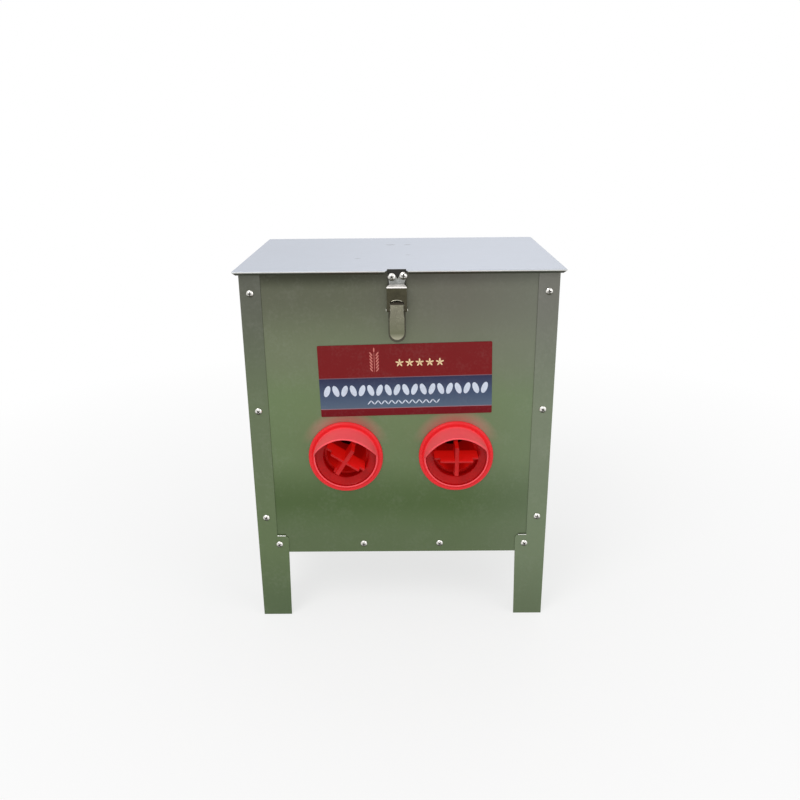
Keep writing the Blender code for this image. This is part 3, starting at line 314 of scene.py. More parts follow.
front_zinc = galvanised("front_panel_zinc", FRONT_PAINTED_LIGHT_STOPS, roughness=0.30)
tree = front_zinc.node_tree
# A painted reflection of the red hoods, pink on the panel just above each port.
hood_reflection = 0.0
for side in (-1, 1):
    away = distance_from(tree, (side * PORT_X, FRONT_Y, PORT_Z + HOOD_REFLECTION_RISE))
    hood_reflection = sums(tree, "ADD", spread(tree, away, HOOD_REFLECTION_NONE, HOOD_REFLECTION_FULL, 0.0, HOOD_REFLECTION_SHARE), hood_reflection)
# Painted light: a grey-brown painted reflection of open ground up by the lid, painted light on the right, and
# a green painted reflection of grass at the foot.
across, up = along(tree, "X", -70 * MM, 60 * MM), along(tree, "Z", 330 * MM, 430 * MM)
tinted(front_zinc, OPEN_GROUND_REFLECTION_TONE, across, up, OPEN_GROUND_REFLECTION_SHARE)
tinted(front_zinc, RIGHT_PAINTED_LIGHT_TONE, along(tree, "X", 80 * MM, 190 * MM), RIGHT_PAINTED_LIGHT_SHARE)
tinted(front_zinc, GRASS_REFLECTION_TONE, along(tree, "Z", 175 * MM, 130 * MM), GRASS_REFLECTION_SHARE)
tinted(front_zinc, HOOD_REFLECTION_TONE, hood_reflection, along(tree, "Z", PORT_Z + 18 * MM, PORT_Z + 46 * MM))
softened("front_panel", front_zinc, "bin", PANEL_EDGE)

# Rear panel, floor tray and feed slope
# Plain galvanised sheets: the rear panel closes the bin, the tray carries the feed, the slope leads it out.
# They are held by the same column and bottom screws as the front panel.
# Their tone by height is tinted green, a painted reflection of grass like the outer sheets'.
INNER_PAINTED_LIGHT_STOPS = ((0.0, (104, 114, 90)), (0.5, (116, 124, 104)), (0.98, (106, 108, 98)))
inner_zinc = galvanised("inner_sheet_zinc", INNER_PAINTED_LIGHT_STOPS, contrast=0.10, crystals=150.0)
for node in ("rear_panel", "floor_tray", "feed_slope"):
    softened(node, inner_zinc, "bin", PANEL_EDGE)

# Lid
# One pale galvanised sheet with a rolled and folded rim, a skirt at the back and a tab for the latch.
# Its top is smooth, with faint drifts of tone and a few small scuffs; its rim has a painted highlight, its
# underside painted shade and its latch tab a painted shadow.
LID_EDGE = 0.25 * MM
LID_TONE, SCUFF_TONE = (188, 194, 206), (134, 136, 144)
LID_SCUFFS = (
    (-13.7 * MM, 85.1 * MM, 9.0 * MM), (11.3 * MM, 84.1 * MM, 7.0 * MM), (11.8 * MM, -10.9 * MM, 4.5 * MM),
    (-56.0 * MM, -37.9 * MM, 5.0 * MM),
)
SCUFF_BASE, SCUFF_STREAK = 0.3, 4.0
RIM_PAINTED_HIGHLIGHT, UNDER_PAINTED_SHADE, TAB_PAINTED_SHADOW = (214, 215, 212), (52, 56, 40), (34, 33, 28)
UNDER_LOW = 497.4 * MM


def lid_finish():
    """Pale zinc with streaky scuffs on its top."""
    made, tree, shader = finish_of("lid_zinc", metallic=0.30)
    zinc = spangled(tree, paint(*LID_TONE), crystals=90.0, contrast=0.045, roughness=0.42)
    scuffed = 0.0
    for x, y, radius in LID_SCUFFS:
        near = spread(tree, distance_from(tree, (x, y, TOP)), radius, 0.0)
        scuffed = sums(tree, "MAXIMUM", scuffed, near)
    streak = rub_mask(tree, scale=320.0, amount=1.0, stretch=(0.35, 2.0, 1.0))
    broken = sums(tree, "MULTIPLY_ADD", streak, SCUFF_STREAK, SCUFF_BASE)
    mark = product(tree, broken, scuffed, along(tree, "Z", TOP - 0.8 * MM, TOP - 0.2 * MM))
    colour = blend_colours(tree, mark, zinc["Color"], paint(*SCUFF_TONE))
    tree.links.new(colour, shader.inputs["Base Color"])
    tree.links.new(zinc["Roughness"], shader.inputs["Roughness"])
    bump(tree, shader, zinc["Height"], strength=0.12, distance=0.06 * MM)
    return made


lid_zinc = lid_finish()
tree = lid_zinc.node_tree
# A painted highlight on the rolled rim, laid over all of the lid below its top face.
tinted(lid_zinc, RIM_PAINTED_HIGHLIGHT, along(tree, "Z", TOP - 0.6 * MM, TOP - 1.0 * MM))
# Painted shade on the lid's underside, in front of the hinges.
under = along(tree, "Z", UNDER_LOW + 0.4 * MM, UNDER_LOW), along(tree, "Y", 152 * MM, 148 * MM)
tinted(lid_zinc, UNDER_PAINTED_SHADE, *under)
# A painted shadow on the latch tab, between its sides and in front of the panel.
tab_painted_shadow_sides = along(tree, "X", -15.2 * MM, -15.0 * MM), along(tree, "X", 8.8 * MM, 8.6 * MM)
tinted(lid_zinc, TAB_PAINTED_SHADOW, *tab_painted_shadow_sides, along(tree, "Y", FRONT_Y - 1.2 * MM, FRONT_Y - 1.6 * MM))
softened("lid", lid_zinc, "lid", LID_EDGE)

# Screws
# Plated pan-head machine screws with a cross recess, each with a hexagon nut behind the sheets.
# Six on each end hold the side panels and eight more hold the tray. Two with wider heads hold the keeper.
SCREW_SIZES = {
    "Head Radius": 4.4 * MM, "Head Height": 2.6 * MM, "Crown Radius": 6.2 * MM, "Recess Length": 5.2 * MM,
    "Recess Width": 1.3 * MM, "Recess Depth": 1.5 * MM, "Shank Radius": 2.0 * MM, "Nut Radius": 4.0 * MM,
    "Nut Height": 3.0 * MM,
}
SCREW_POINT = 1.2 * MM
KEEPER_SCREW_SIZES = {
    **SCREW_SIZES, "Head Radius": 4.8 * MM, "Crown Radius": 6.6 * MM, "Nut Height": 1.8 * MM,
}
KEEPER_POINT = 0.4 * MM
HEAD_SIDES, SHANK_SIDES, NUT_SIDES = 32, 16, 6
FIRST_TURN, TURN_STEP = 0.4, 1.1
SHARP_EDGE = math.radians(32)


def stored_vector(tree, label):
    inputs = {"Name": label}
    return put(tree, "GeometryNodeInputNamedAttribute", inputs, data_type="FLOAT_VECTOR").outputs[0]


def copies(tree, points, shape, turn, scale=(1.0, 1.0, 1.0)):
    inputs = {"Points": points, "Instance": shape, "Rotation": turn, "Scale": scale}
    return put(tree, "GeometryNodeInstanceOnPoints", inputs).outputs[0]


def fastener_tree(name, recessed):
    """Heads, shanks and nuts on the points of a mesh. aim turns each one and reach runs from seat to nut."""
    inputs = [("Geometry", "Geometry", None)] + [(label, "Float", MM) for label in SCREW_SIZES]
    inputs += [("Finish", "Material", None), ("Recess Finish", "Material", None)]
    tree, given, result = new_group(name, "GeometryNodeTree", inputs, (("Geometry", "Geometry"),))
    seats = given["Geometry"]

    def shifted(mesh, up):
        shift = put(tree, "ShaderNodeCombineXYZ", {2: up}).outputs[0]
        return put(tree, "GeometryNodeTransform", {"Geometry": mesh, "Translation": shift}).outputs[0]

    def bar(radius, height, sides, up):
        inputs = {"Vertices": sides, "Radius": radius, "Depth": height}
        return shifted(put(tree, "GeometryNodeMeshCylinder", inputs).outputs["Mesh"], up)

    def painted(mesh, label):
        inputs = {"Geometry": mesh, "Material": given[label]}
        return put(tree, "GeometryNodeSetMaterial", inputs).outputs[0]

    def cut(mesh, tools, operation):
        made = put(tree, "GeometryNodeMeshBoolean", operation=operation, solver="EXACT")
        if operation == "DIFFERENCE":
            tree.links.new(mesh, made.inputs[0])
        else:
            tools = [*tools, mesh]
        for tool in tools:
            tree.links.new(tool, made.inputs[1])
        return made.outputs[0]

    def moved(offset):
        return put(tree, "GeometryNodeSetPosition", {"Geometry": seats, "Offset": offset}).outputs[0]

    half = sums(tree, "MULTIPLY", given["Head Height"], 0.5)
    blank = painted(bar(given["Head Radius"], given["Head Height"], HEAD_SIDES, half), "Finish")
    ball = {"Segments": HEAD_SIDES, "Rings": HEAD_SIDES, "Radius": given["Crown Radius"]}
    ball = painted(put(tree, "GeometryNodeMeshUVSphere", ball).outputs["Mesh"], "Finish")
    crown = shifted(ball, sums(tree, "SUBTRACT", given["Head Height"], given["Crown Radius"]))
    head = cut(blank, [crown], "INTERSECT")
    if recessed:
        deep = sums(tree, "MULTIPLY", given["Recess Depth"], 2.0)
        bars = []
        for length, width in (("Recess Width", "Recess Length"), ("Recess Length", "Recess Width")):
            size = put(tree, "ShaderNodeCombineXYZ", {0: given[length], 1: given[width], 2: deep}).outputs[0]
            box = painted(put(tree, "GeometryNodeMeshCube", {"Size": size}).outputs["Mesh"], "Recess Finish")
            bars.append(shifted(box, given["Head Height"]))
        head = cut(head, bars, "DIFFERENCE")
    reach = stored_vector(tree, "reach")
    turn = put(tree, "FunctionNodeEulerToRotation", {0: stored_vector(tree, "aim")}).outputs[0]
    heads = copies(tree, seats, head, turn)
    nut_sides = NUT_SIDES if recessed else SHANK_SIDES
    nut = painted(bar(given["Nut Radius"], given["Nut Height"], nut_sides, 0.0), "Finish")
    nuts = copies(tree, moved(reach), nut, turn)
    halfway = put(tree, "ShaderNodeVectorMath", {0: reach, 3: 0.5}, operation="SCALE").outputs[0]
    length = put(tree, "ShaderNodeVectorMath", {0: reach}, operation="LENGTH").outputs["Value"]
    stretch = put(tree, "ShaderNodeCombineXYZ", {0: 1.0, 1: 1.0, 2: length}).outputs[0]
    shank = painted(bar(given["Shank Radius"], 1.0, SHANK_SIDES, 0.0), "Finish")
    shanks = copies(tree, moved(halfway), shank, turn, stretch)
    joined = tree.nodes.new("GeometryNodeJoinGeometry")
    for part in (heads, nuts, shanks):
        tree.links.new(part, joined.inputs[0])
    real = put(tree, "GeometryNodeRealizeInstances", {0: joined.outputs[0]}).outputs[0]
    inputs = {"Geometry": real, "Shade Smooth": True}
    smooth = put(tree, "GeometryNodeSetShadeSmooth", inputs, domain="FACE").outputs[0]
    angle = put(tree, "GeometryNodeInputMeshEdgeAngle").outputs[0]
    sharp = put(tree, "FunctionNodeCompare", {0: angle, 1: SHARP_EDGE}, operation="GREATER_THAN").outputs[0]
    inputs = {"Geometry": smooth, "Selection": sharp, "Shade Smooth": False}
    edged = put(tree, "GeometryNodeSetShadeSmooth", inputs, domain="EDGE").outputs[0]
    tree.links.new(edged, result.inputs[0])
    return tree


def grown(name, places, vectors, tree, values):
    """A plain mesh that a node tree makes on loose points, which carry the vectors by name."""
    mesh = bpy.data.meshes.new(name)
    mesh.from_pydata(places, [], [])
    for label, rows in vectors.items():
        layer = mesh.attributes.new(label, "FLOAT_VECTOR", "POINT")
        layer.data.foreach_set("vector", [number for row in rows for number in row])
    piece = placed(name, mesh)
    step = piece.modifiers.new("shapes", "NODES")
    step.node_group = tree
    for socket in tree.interface.items_tree:
        if socket.item_type == "SOCKET" and socket.in_out == "INPUT" and socket.name in values:
            step[socket.identifier] = values[socket.name]
    depsgraph = bpy.context.evaluated_depsgraph_get()
    made = bpy.data.meshes.new_from_object(piece.evaluated_get(depsgraph))
    piece.modifiers.clear()
    piece.data = made
    made.name = piece.name
    return piece


def fasteners(name, body, nodes, tree, sizes, tail, finish):
    """One mesh of all the given CAD nodes' fasteners, made at their places."""
    seats, aims, reaches = [], [], []
    for k, node in enumerate(nodes):
        low, high = (Vector(corner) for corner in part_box(node))
        way = -1.0 if node.startswith(("screw_rear", "hinge")) else 1.0
        top, end = (low.y, high.y) if way > 0 else (high.y, low.y)
        seat = top + way * sizes["Head Height"]
        nut = end - way * (tail + sizes["Nut Height"] / 2)
        middle = (low + high) / 2
        seats.append((middle.x, seat, middle.z))
        aims.append((way * math.pi / 2, -way * (FIRST_TURN + TURN_STEP * k), 0.0))
        reaches.append((0.0, nut - seat, 0.0))
    values = {**sizes, "Finish": finish, "Recess Finish": recess_painted_shade}
    piece = grown(name, seats, {"aim": aims, "reach": reaches}, tree, values)
    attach(piece, body)
    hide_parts(*nodes)


def worn_tones(tree, colour, wear, scale, amount):
    """A colour with rubbed patches of its own tone times wear, and the mask of the patches."""
    mask = rub_mask(tree, scale, amount)
    patches = paint(*(part * wear for part in colour))
    return blend_colours(tree, mask, paint(*colour), patches), mask


def bright_steel(name, colour, roughness):
    """Bright plated steel, a little duller where it has been rubbed."""
    made, tree, shader = finish_of(name, metallic=0.75)
    tone, mask = worn_tones(tree, colour, wear=0.66, scale=240.0, amount=0.8)
    tree.links.new(tone, shader.inputs["Base Color"])
    tree.links.new(sums(tree, "MULTIPLY_ADD", mask, 0.2, roughness), shader.inputs["Roughness"])
    bump(tree, shader, mask, strength=0.15, distance=0.05 * MM)
    return made


def facing_up(tree, start, end):
    """A mask by how far a face looks up: -1 is straight down and 1 straight up."""
    normal = put(tree, "ShaderNodeNewGeometry").outputs["Normal"]
    return spread(tree, put(tree, "ShaderNodeSeparateXYZ", {0: normal}).outputs["Z"], start, end)


screw_tree = fastener_tree("cross_head_screws", True)
# The cross recesses get a dark painted shade.
recess_painted_shade, _, recess_shader = finish_of("screw_recess_painted_shade", metallic=0.4, roughness=0.6)
recess_shader.inputs["Base Color"].default_value = paint(62, 60, 52)
screw_finish = bright_steel("plated_screws", (232, 230, 224), roughness=0.26)
# Faces that look down are dark, as bright metal is that mirrors the ground.
tinted(screw_finish, (70, 70, 56), facing_up(screw_finish.node_tree, -0.10, -0.45))
ends = [node for node in sorted(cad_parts) if node.startswith("screw_")]
fasteners("body_screws", "bin", ends, screw_tree, SCREW_SIZES, SCREW_POINT, screw_finish)
keeper_ends = ["keeper_screw_1", "keeper_screw_2"]
fasteners("keeper_screws", "lid", keeper_ends, screw_tree, KEEPER_SCREW_SIZES, KEEPER_POINT, screw_finish)

# Rivets
# Small dome rivets with a flat set tail: two hold the latch base, and four hold each hinge.
# They are plain steel, set cold through both sheets.
RIVET_SIZES = {
    "Head Radius": 3.2 * MM, "Head Height": 1.5 * MM, "Crown Radius": 4.3 * MM, "Shank Radius": 1.6 * MM,
    "Nut Radius": 2.8 * MM, "Nut Height": 0.75 * MM,
}
rivet_tree = fastener_tree("dome_rivets", False)
rivet_finish = bright_steel("rivet_steel", (186, 184, 176), roughness=0.34)
bin_rivets = ["latch_rivet_1", "latch_rivet_2"] + [f"hinge_body_rivet_{k}" for k in range(1, 5)]
fasteners("bin_rivets", "bin", bin_rivets, rivet_tree, RIVET_SIZES, 0.0, rivet_finish)
lid_rivets = [f"hinge_lid_rivet_{k}" for k in range(1, 5)]
fasteners("lid_rivets", "lid", lid_rivets, rivet_tree, RIVET_SIZES, 0.0, rivet_finish)

# Label
# A printed plate, glued on a little askew: a red band, a pale line, a blue field, a pale line, a red foot.
# The print shows only plain ornament: an ear of grain, five small flowers and two rows of pale grains.
LABEL_CENTRE = (6.8 * MM, 355.6 * MM)
LABEL_TURN = math.radians(1.2)
LABEL_FACE_Y = FRONT_Y + 0.3 * MM
LABEL_HALF_HEIGHT = 48.5 * MM
LABEL_EDGE = 0.12 * MM
LABEL_STOPS = (
    (0.0, (108, 18, 26)), (0.103, (112, 18, 28)), (0.105, (150, 122, 132)), (0.112, (150, 122, 132)),
    (0.114, (86, 104, 124)), (0.30, (70, 84, 110)), (0.535, (50, 52, 80)), (0.539, (120, 90, 100)),
    (0.545, (120, 90, 100)), (0.549, (120, 26, 28)), (0.985, (118, 28, 30)),
)
INK_THICK, GRAIN_SIDES = 0.10 * MM, 20
ROSE_INK, GOLD_INK, PALE_INK = (204, 116, 106), (236, 206, 160), (206, 216, 232)
EAR_PAIRS, EAR_STEP, EAR_SPREAD, EAR_LEAN = 6, 4.2 * MM, 4.0 * MM, math.radians(34)
EAR_U, EAR_V = -39.5 * MM, 12.5 * MM
# Each mark's half length and half width.
STALK, EAR_GRAIN, EAR_TIP = (3.3 * EAR_STEP, 0.35 * MM), (3.2 * MM, 0.9 * MM), (3.0 * MM, 0.9 * MM)
PETAL, FIELD_GRAIN, BRAID_GRAIN = (2.7 * MM, 1.0 * MM), (7.9 * MM, 3.8 * MM), (3.4 * MM, 0.8 * MM)
FLOWERS, PETALS, FLOWER_U, FLOWER_V, FLOWER_STEP = 5, 5, -7.0 * MM, 23.2 * MM, 13.0 * MM
FIELD_COUNT, FIELD_STEP, FIELD_V, FIELD_LEAN = 19, 11.4 * MM, -13.2 * MM, math.radians(20)
BRAID_COUNT, BRAID_U, BRAID_V, BRAID_STEP, BRAID_LEAN = 21, -48 * MM, -30.0 * MM, 4.5 * MM, math.radians(38)
UPRIGHT = math.radians(90)


def label_finish():
    """The bands of the print, by the height on the turned plate."""
    made, tree, shader = finish_of("label_print_bands", roughness=0.42)
    shader.inputs["Specular IOR Level"].default_value = 0.12
    place = object_place(tree)
    centre, turn = (LABEL_CENTRE[0], 0.0, LABEL_CENTRE[1]), (0.0, -LABEL_TURN, 0.0)
    inputs = {"Vector": place, "Location": centre, "Rotation": turn}
    flat = put(tree, "ShaderNodeMapping", inputs, vector_type="TEXTURE").outputs[0]
    up = put(tree, "ShaderNodeSeparateXYZ", {0: flat}).outputs["Z"]
    bands = ramp_colours(tree, spread(tree, up, -LABEL_HALF_HEIGHT, LABEL_HALF_HEIGHT), LABEL_STOPS)
    rubs = rub_mask(tree, scale=34.0, amount=0.03)
    colour = blend_colours(tree, rubs, bands, paint(205, 200, 192))
    tree.links.new(colour, shader.inputs["Base Color"])
    grain = noise(tree, place, scale=900.0, detail=2.0)
    tree.links.new(sums(tree, "MULTIPLY_ADD", grain, 0.14, 0.34), shader.inputs["Roughness"])
    bump(tree, shader, grain, strength=0.1, distance=0.03 * MM)
    return made


def ink(name, colour):
    made, tree, shader = finish_of(name, metallic=0.1, roughness=0.38)
    tone, _ = worn_tones(tree, colour, wear=0.7, scale=70.0, amount=0.5)
    tree.links.new(tone, shader.inputs["Base Color"])
    return made


def grain_tree():
    """A flat printed grain on each point, stretched by size and turned by aim."""
    inputs = (("Geometry", "Geometry", None), ("Thickness", "Float", INK_THICK), ("Finish", "Material", None))
    tree, given, result = new_group("printed_grains", "GeometryNodeTree", inputs, (("Geometry", "Geometry"),))
    shape = {"Vertices": GRAIN_SIDES, "Radius": 1.0, "Depth": given["Thickness"]}
    grain = put(tree, "GeometryNodeMeshCylinder", shape).outputs["Mesh"]
    turn = put(tree, "FunctionNodeEulerToRotation", {0: stored_vector(tree, "aim")}).outputs[0]
    grains = copies(tree, given["Geometry"], grain, turn, stored_vector(tree, "size"))
    real = put(tree, "GeometryNodeRealizeInstances", {0: grains}).outputs[0]
    done = put(tree, "GeometryNodeSetMaterial", {"Geometry": real, "Material": given["Finish"]}).outputs[0]
    tree.links.new(done, result.inputs[0])
    return tree


def printed(name, marks, tree, finish):
    """Grains at (across, up, angle, half length, half width) on the label, as one thin piece of ink."""
    across, up = math.cos(LABEL_TURN), math.sin(LABEL_TURN)
    places, aims, sizes = [], [], []
    for u, v, angle, length, width in marks:
        x, z = LABEL_CENTRE[0] + u * across - v * up, LABEL_CENTRE[1] + u * up + v * across
        places.append((x, LABEL_FACE_Y - INK_THICK / 4, z))
        aims.append((math.pi / 2, -(angle + LABEL_TURN), 0.0))
        sizes.append((length, width, 1.0))
    values = {"Thickness": INK_THICK, "Finish": finish}
    piece = grown(name, places, {"aim": aims, "size": sizes}, tree, values)
    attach(piece, "bin")


softened("label_plate", label_finish(), "bin", LABEL_EDGE)
ear = [(EAR_U, EAR_V + 3 * EAR_STEP, UPRIGHT, *STALK)]
for k in range(EAR_PAIRS):
    for side in (-1, 1):
        lean = UPRIGHT - side * EAR_LEAN
        ear.append((EAR_U + side * EAR_SPREAD, EAR_V + (k + 0.6) * EAR_STEP, lean, *EAR_GRAIN))
ear.append((EAR_U, EAR_V + (EAR_PAIRS + 0.9) * EAR_STEP, UPRIGHT, *EAR_TIP))
flowers = []
for k in range(FLOWERS):
    for petal in range(PETALS):
        swing = UPRIGHT + 2 * math.pi * petal / PETALS
        u = FLOWER_U + k * FLOWER_STEP + PETAL[0] * math.cos(swing)
        flowers.append((u, FLOWER_V + PETAL[0] * math.sin(swing), swing, *PETAL))
field = []
for k in range(FIELD_COUNT):
    lean = UPRIGHT + (FIELD_LEAN if k % 2 else -FIELD_LEAN)
    field.append(((k - (FIELD_COUNT - 1) / 2) * FIELD_STEP, FIELD_V, lean, *FIELD_GRAIN))
braid = []
for k in range(BRAID_COUNT):
    lean = UPRIGHT + (BRAID_LEAN if k % 2 else -BRAID_LEAN)
    braid.append((BRAID_U + BRAID_STEP * k, BRAID_V, lean, *BRAID_GRAIN))
grains = grain_tree()
printed("label_ear_of_grain", ear, grains, ink("rose_ink", ROSE_INK))
printed("label_flowers", flowers, grains, ink("gold_ink", GOLD_INK))
printed("label_row_of_grains", field + braid, grains, ink("pale_ink", PALE_INK))

# Feeding ports
# Each is one red moulding: a flange on the panel, a lip that rises into a hood, a sleeve through the hole.
# A lock ring behind the panel holds it. Its tube and its cross of vanes keep hens from raking feed out.
PANEL_Y = FRONT_Y + 1.1 * MM
LIP_REACH, HOOD_REACH = 7.0, 42.5
HOOD_STEPS = 128
INNER_ROWS, FLANGE_FROM_ROW = 10, 17
HOOD_TURN = {"left": 1.0, "right": 6.0}
HOOD_SMOOTH = math.radians(50)
GRILLE_EDGE = 0.32 * MM
DEPTH_PAINTED_GLOW = 0.24


def port_section(angle):
    """(radius, reach) in millimetres round the port's wall, from the sleeve out to the hood and back."""
    rise = max(0.0, math.sin(angle))
    lip = max(LIP_REACH, HOOD_REACH * (1 - (1 - rise) ** 2))
    return (
        (30.0, -12.0), (30.0, -0.2), (30.3, 0.4), (31.0, 0.8), (36.0, 1.9), (40.0, 2.9), (40.45, 3.3),
        (40.6, 4.0), (40.6, lip - 1.3), (40.75, lip - 0.6), (41.1, lip - 0.15), (41.6, lip), (42.1, lip),
        (42.55, lip - 0.15), (42.9, lip - 0.6), (43.0, lip - 1.2), (43.0, 4.4), (43.15, 3.6), (43.6, 3.15),
        (44.2, 3.2), (44.9, 3.65), (46.0, 3.95), (47.2, 4.0), (48.4, 3.75), (49.3, 3.1), (49.85, 2.2),
        (50.0, 1.3), (50.0, 0.3), (33.5, 0.3), (33.5, -12.0),
    )


def port_hood(word, side, finish):
    """The moulding as a ring of sections. inner and flange are stored on its points, for its finish to paint
    shade on them.
    """
    points, faces = [], []
    for i in range(HOOD_STEPS):
        angle = 2 * math.pi * i / HOOD_STEPS
        swing = angle + math.radians(HOOD_TURN[word])
        section = port_section(angle)
        for radius, reach in section:
            x = side * PORT_X + radius * MM * math.cos(swing)
            points.append((x, PANEL_Y - reach * MM, PORT_Z + radius * MM * math.sin(swing)))
    rows = len(section)
    for i in range(HOOD_STEPS):
        j = (i + 1) % HOOD_STEPS
        for k in range(rows):
            n = (k + 1) % rows
            faces.append((i * rows + k, i * rows + n, j * rows + n, j * rows + k))
    mesh = bpy.data.meshes.new(f"port_hood_{word}_moulded")
    mesh.from_pydata(points, [], faces)
    shape = bmesh.new()
    shape.from_mesh(mesh)
    bmesh.ops.recalc_face_normals(shape, faces=shape.faces)
    shape.to_mesh(mesh)
    shape.free()
    parts = {"inner": [float(k < INNER_ROWS) for k in range(rows)],
             "flange": [float(k >= FLANGE_FROM_ROW) for k in range(rows)]}
    for label, shares in parts.items():
        mesh.attributes.new(label, "FLOAT", "POINT").data.foreach_set("value", shares * HOOD_STEPS)
    mesh.materials.append(finish)
    mesh.shade_smooth()
    mesh.set_sharp_from_angle(angle=HOOD_SMOOTH)
    piece = placed(mesh.name, mesh)
    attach(piece, "bin")
    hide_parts(f"port_hood_{word}")


def moulded_red(name, colour, deep, painted_from, painted_to, roughness):
    """Moulded plastic with a faint leather grain, which blends to its deep colour from one depth to another:
    painted shade inside the hood, a deeper red in the grille.
    """
    made, tree, shader = finish_of(name)
    shader.inputs["Specular IOR Level"].default_value = 0.22
    place = object_place(tree)
    base = blend_colours(tree, along(tree, "Y", painted_from, painted_to), paint(*colour), paint(*deep))
    drift = noise(tree, place, scale=26.0, detail=4.0)
    base = shaded(tree, base, sums(tree, "MULTIPLY_ADD", drift, 0.16, 0.92))
    rubs = rub_mask(tree, scale=90.0, amount=0.10)
    base = blend_colours(tree, rubs, base, paint(226, 120, 112))
    tree.links.new(base, shader.inputs["Base Color"])
    grain = noise(tree, place, scale=1300.0, detail=2.0)
    tree.links.new(sums(tree, "MULTIPLY_ADD", grain, 0.12, roughness - 0.06), shader.inputs["Roughness"])
    bump(tree, shader, grain, strength=0.12, distance=0.05 * MM)
    return made


# The hood's light red is a painted highlight where it faces up, and its deep colour further in is painted
# shade.
hood_red = moulded_red("hood_red_plastic", (255, 90, 98), (190, 14, 16), PANEL_Y, PANEL_Y + 12 * MM, 0.34)
# Painted shade: darker on the flange, darkest inside the moulding.
for label, colour in (("flange", (234, 44, 50)), ("inner", (186, 8, 12))):
    part = put(hood_red.node_tree, "ShaderNodeAttribute", attribute_name=label).outputs["Fac"]
    tinted(hood_red, colour, part)
grille_depths = PANEL_Y - 12 * MM, PANEL_Y + 30 * MM
grille_red = moulded_red("grille_red_plastic", (196, 24, 28), (214, 10, 8), *grille_depths, 0.40)
# A painted glow by emission stands in for light through the plastic: a little everywhere in the tube, more on
# the vanes that look up.
tree = grille_red.node_tree
grille_shader = tree.nodes["Principled BSDF"]
grille_shader.inputs["Emission Color"].default_value = paint(150, 12, 8)
depth = product(tree, along(tree, "Y", PANEL_Y - 10 * MM, PANEL_Y + 20 * MM), DEPTH_PAINTED_GLOW)
level = facing_up(tree, 0.3, 0.8), along(tree, "Z", PORT_Z - 27 * MM, PORT_Z - 22 * MM)
level = product(tree, *level, along(tree, "Y", PANEL_Y + 45 * MM, PANEL_Y))
tree.links.new(sums(tree, "ADD", level, depth), grille_shader.inputs["Emission Strength"])
for word, side in (("left", -1), ("right", 1)):
    port_hood(word, side, hood_red)
    softened(f"port_grille_{word}", grille_red, "bin", GRILLE_EDGE)

# Toggle latch
# Bent zinc-plated steel: a base riveted to the panel, a lever and a draw plate on pins, a keeper on the lid.
# The plating is coloured dark and olive on its faces, and bright on its edges, as rubbed wear with a painted
# highlight.
LATCH_EDGE = 0.28 * MM
LATCH_X, CLAW_Z = -3.2 * MM, 477.8 * MM
WINDOW_HALF, WINDOW_RISE, WINDOW_Z = 8.8 * MM, 4.8 * MM, 458.2 * MM
WINDOW_FACE_Y = FRONT_Y - 10.9 * MM
BEAD_RADIUS, BEAD_POINTS, BEAD_START, BEAD_STEP = 0.55 * MM, 13, 42, 8


def plated(name, colour, dark, amount, metallic=0.6, roughness=0.34):
    """Zinc plate that clouds over to a darker tone, with pale rubbed patches."""
    made, tree, shader = finish_of(name, metallic)
    place = object_place(tree)
    cloud = noise(tree, place, scale=140.0, detail=5.0)
    base = blend_colours(tree, cloud, paint(*colour), paint(*dark))
    pale = paint(*(min(255, part * 1.35) for part in colour))
    base = blend_colours(tree, rub_mask(tree, 75.0, amount), base, pale)
    tree.links.new(base, shader.inputs["Base Color"])
    tree.links.new(sums(tree, "MULTIPLY_ADD", cloud, 0.2, roughness - 0.1), shader.inputs["Roughness"])
    grain = noise(tree, place, scale=1800.0, detail=2.0)
    bump(tree, shader, grain, strength=0.15, distance=0.04 * MM)
    return made


def rubbed(piece, finish):
    """Give the rounded edges of a piece their own bright finish, rubbed wear with a painted highlight."""
    piece.data.materials.append(finish)
    piece.modifiers["rounded edges"].material = 1


edge_wear_and_highlight_zinc = plated("zinc_edge_wear_and_highlight", (188, 186, 170), (150, 148, 132), 0.3, metallic=0.8, roughness=0.24)
base_zinc = plated("latch_base_zinc", (92, 90, 76), (62, 60, 48), 0.3)
lever_zinc = plated("latch_lever_zinc", (142, 140, 122), (102, 100, 82), 0.5)
draw_zinc = plated("draw_plate_zinc", (76, 73, 54), (46, 43, 28), 0.25)
keeper_zinc = plated("keeper_zinc", (150, 152, 150), (112, 112, 106), 0.5)
latch_tones_and_painted_light = (
    # Darker towards the bottom of the lever.
    (lever_zinc, 446.0 * MM, 420.0 * MM, (112, 114, 90)),
    # A painted highlight on the curl at the lever's foot.
    (lever_zinc, 419.5 * MM, 413.5 * MM, (158, 156, 134)),
    # A painted shadow on the lever's top, under the draw plate's arch.
    (lever_zinc, 456.6 * MM, 457.4 * MM, (50, 44, 34)),
    # A painted highlight along the top of the claw.
    (draw_zinc, CLAW_Z, CLAW_Z + 0.4 * MM, (240, 236, 232)),
)
for finish, start, end, colour in latch_tones_and_painted_light:
    tinted(finish, colour, along(finish.node_tree, "Z", start, end))
latch_pieces = (
    ("latch_base", base_zinc, "bin"), ("latch_lever", lever_zinc, "lever"),
    ("latch_draw_plate", draw_zinc, "draw_plate"), ("latch_keeper", keeper_zinc, "lid"),
)
for node, finish, body in latch_pieces:
    piece = softened(node, finish, body, LATCH_EDGE)
    if node != "latch_base":
        rubbed(piece, edge_wear_and_highlight_zinc)

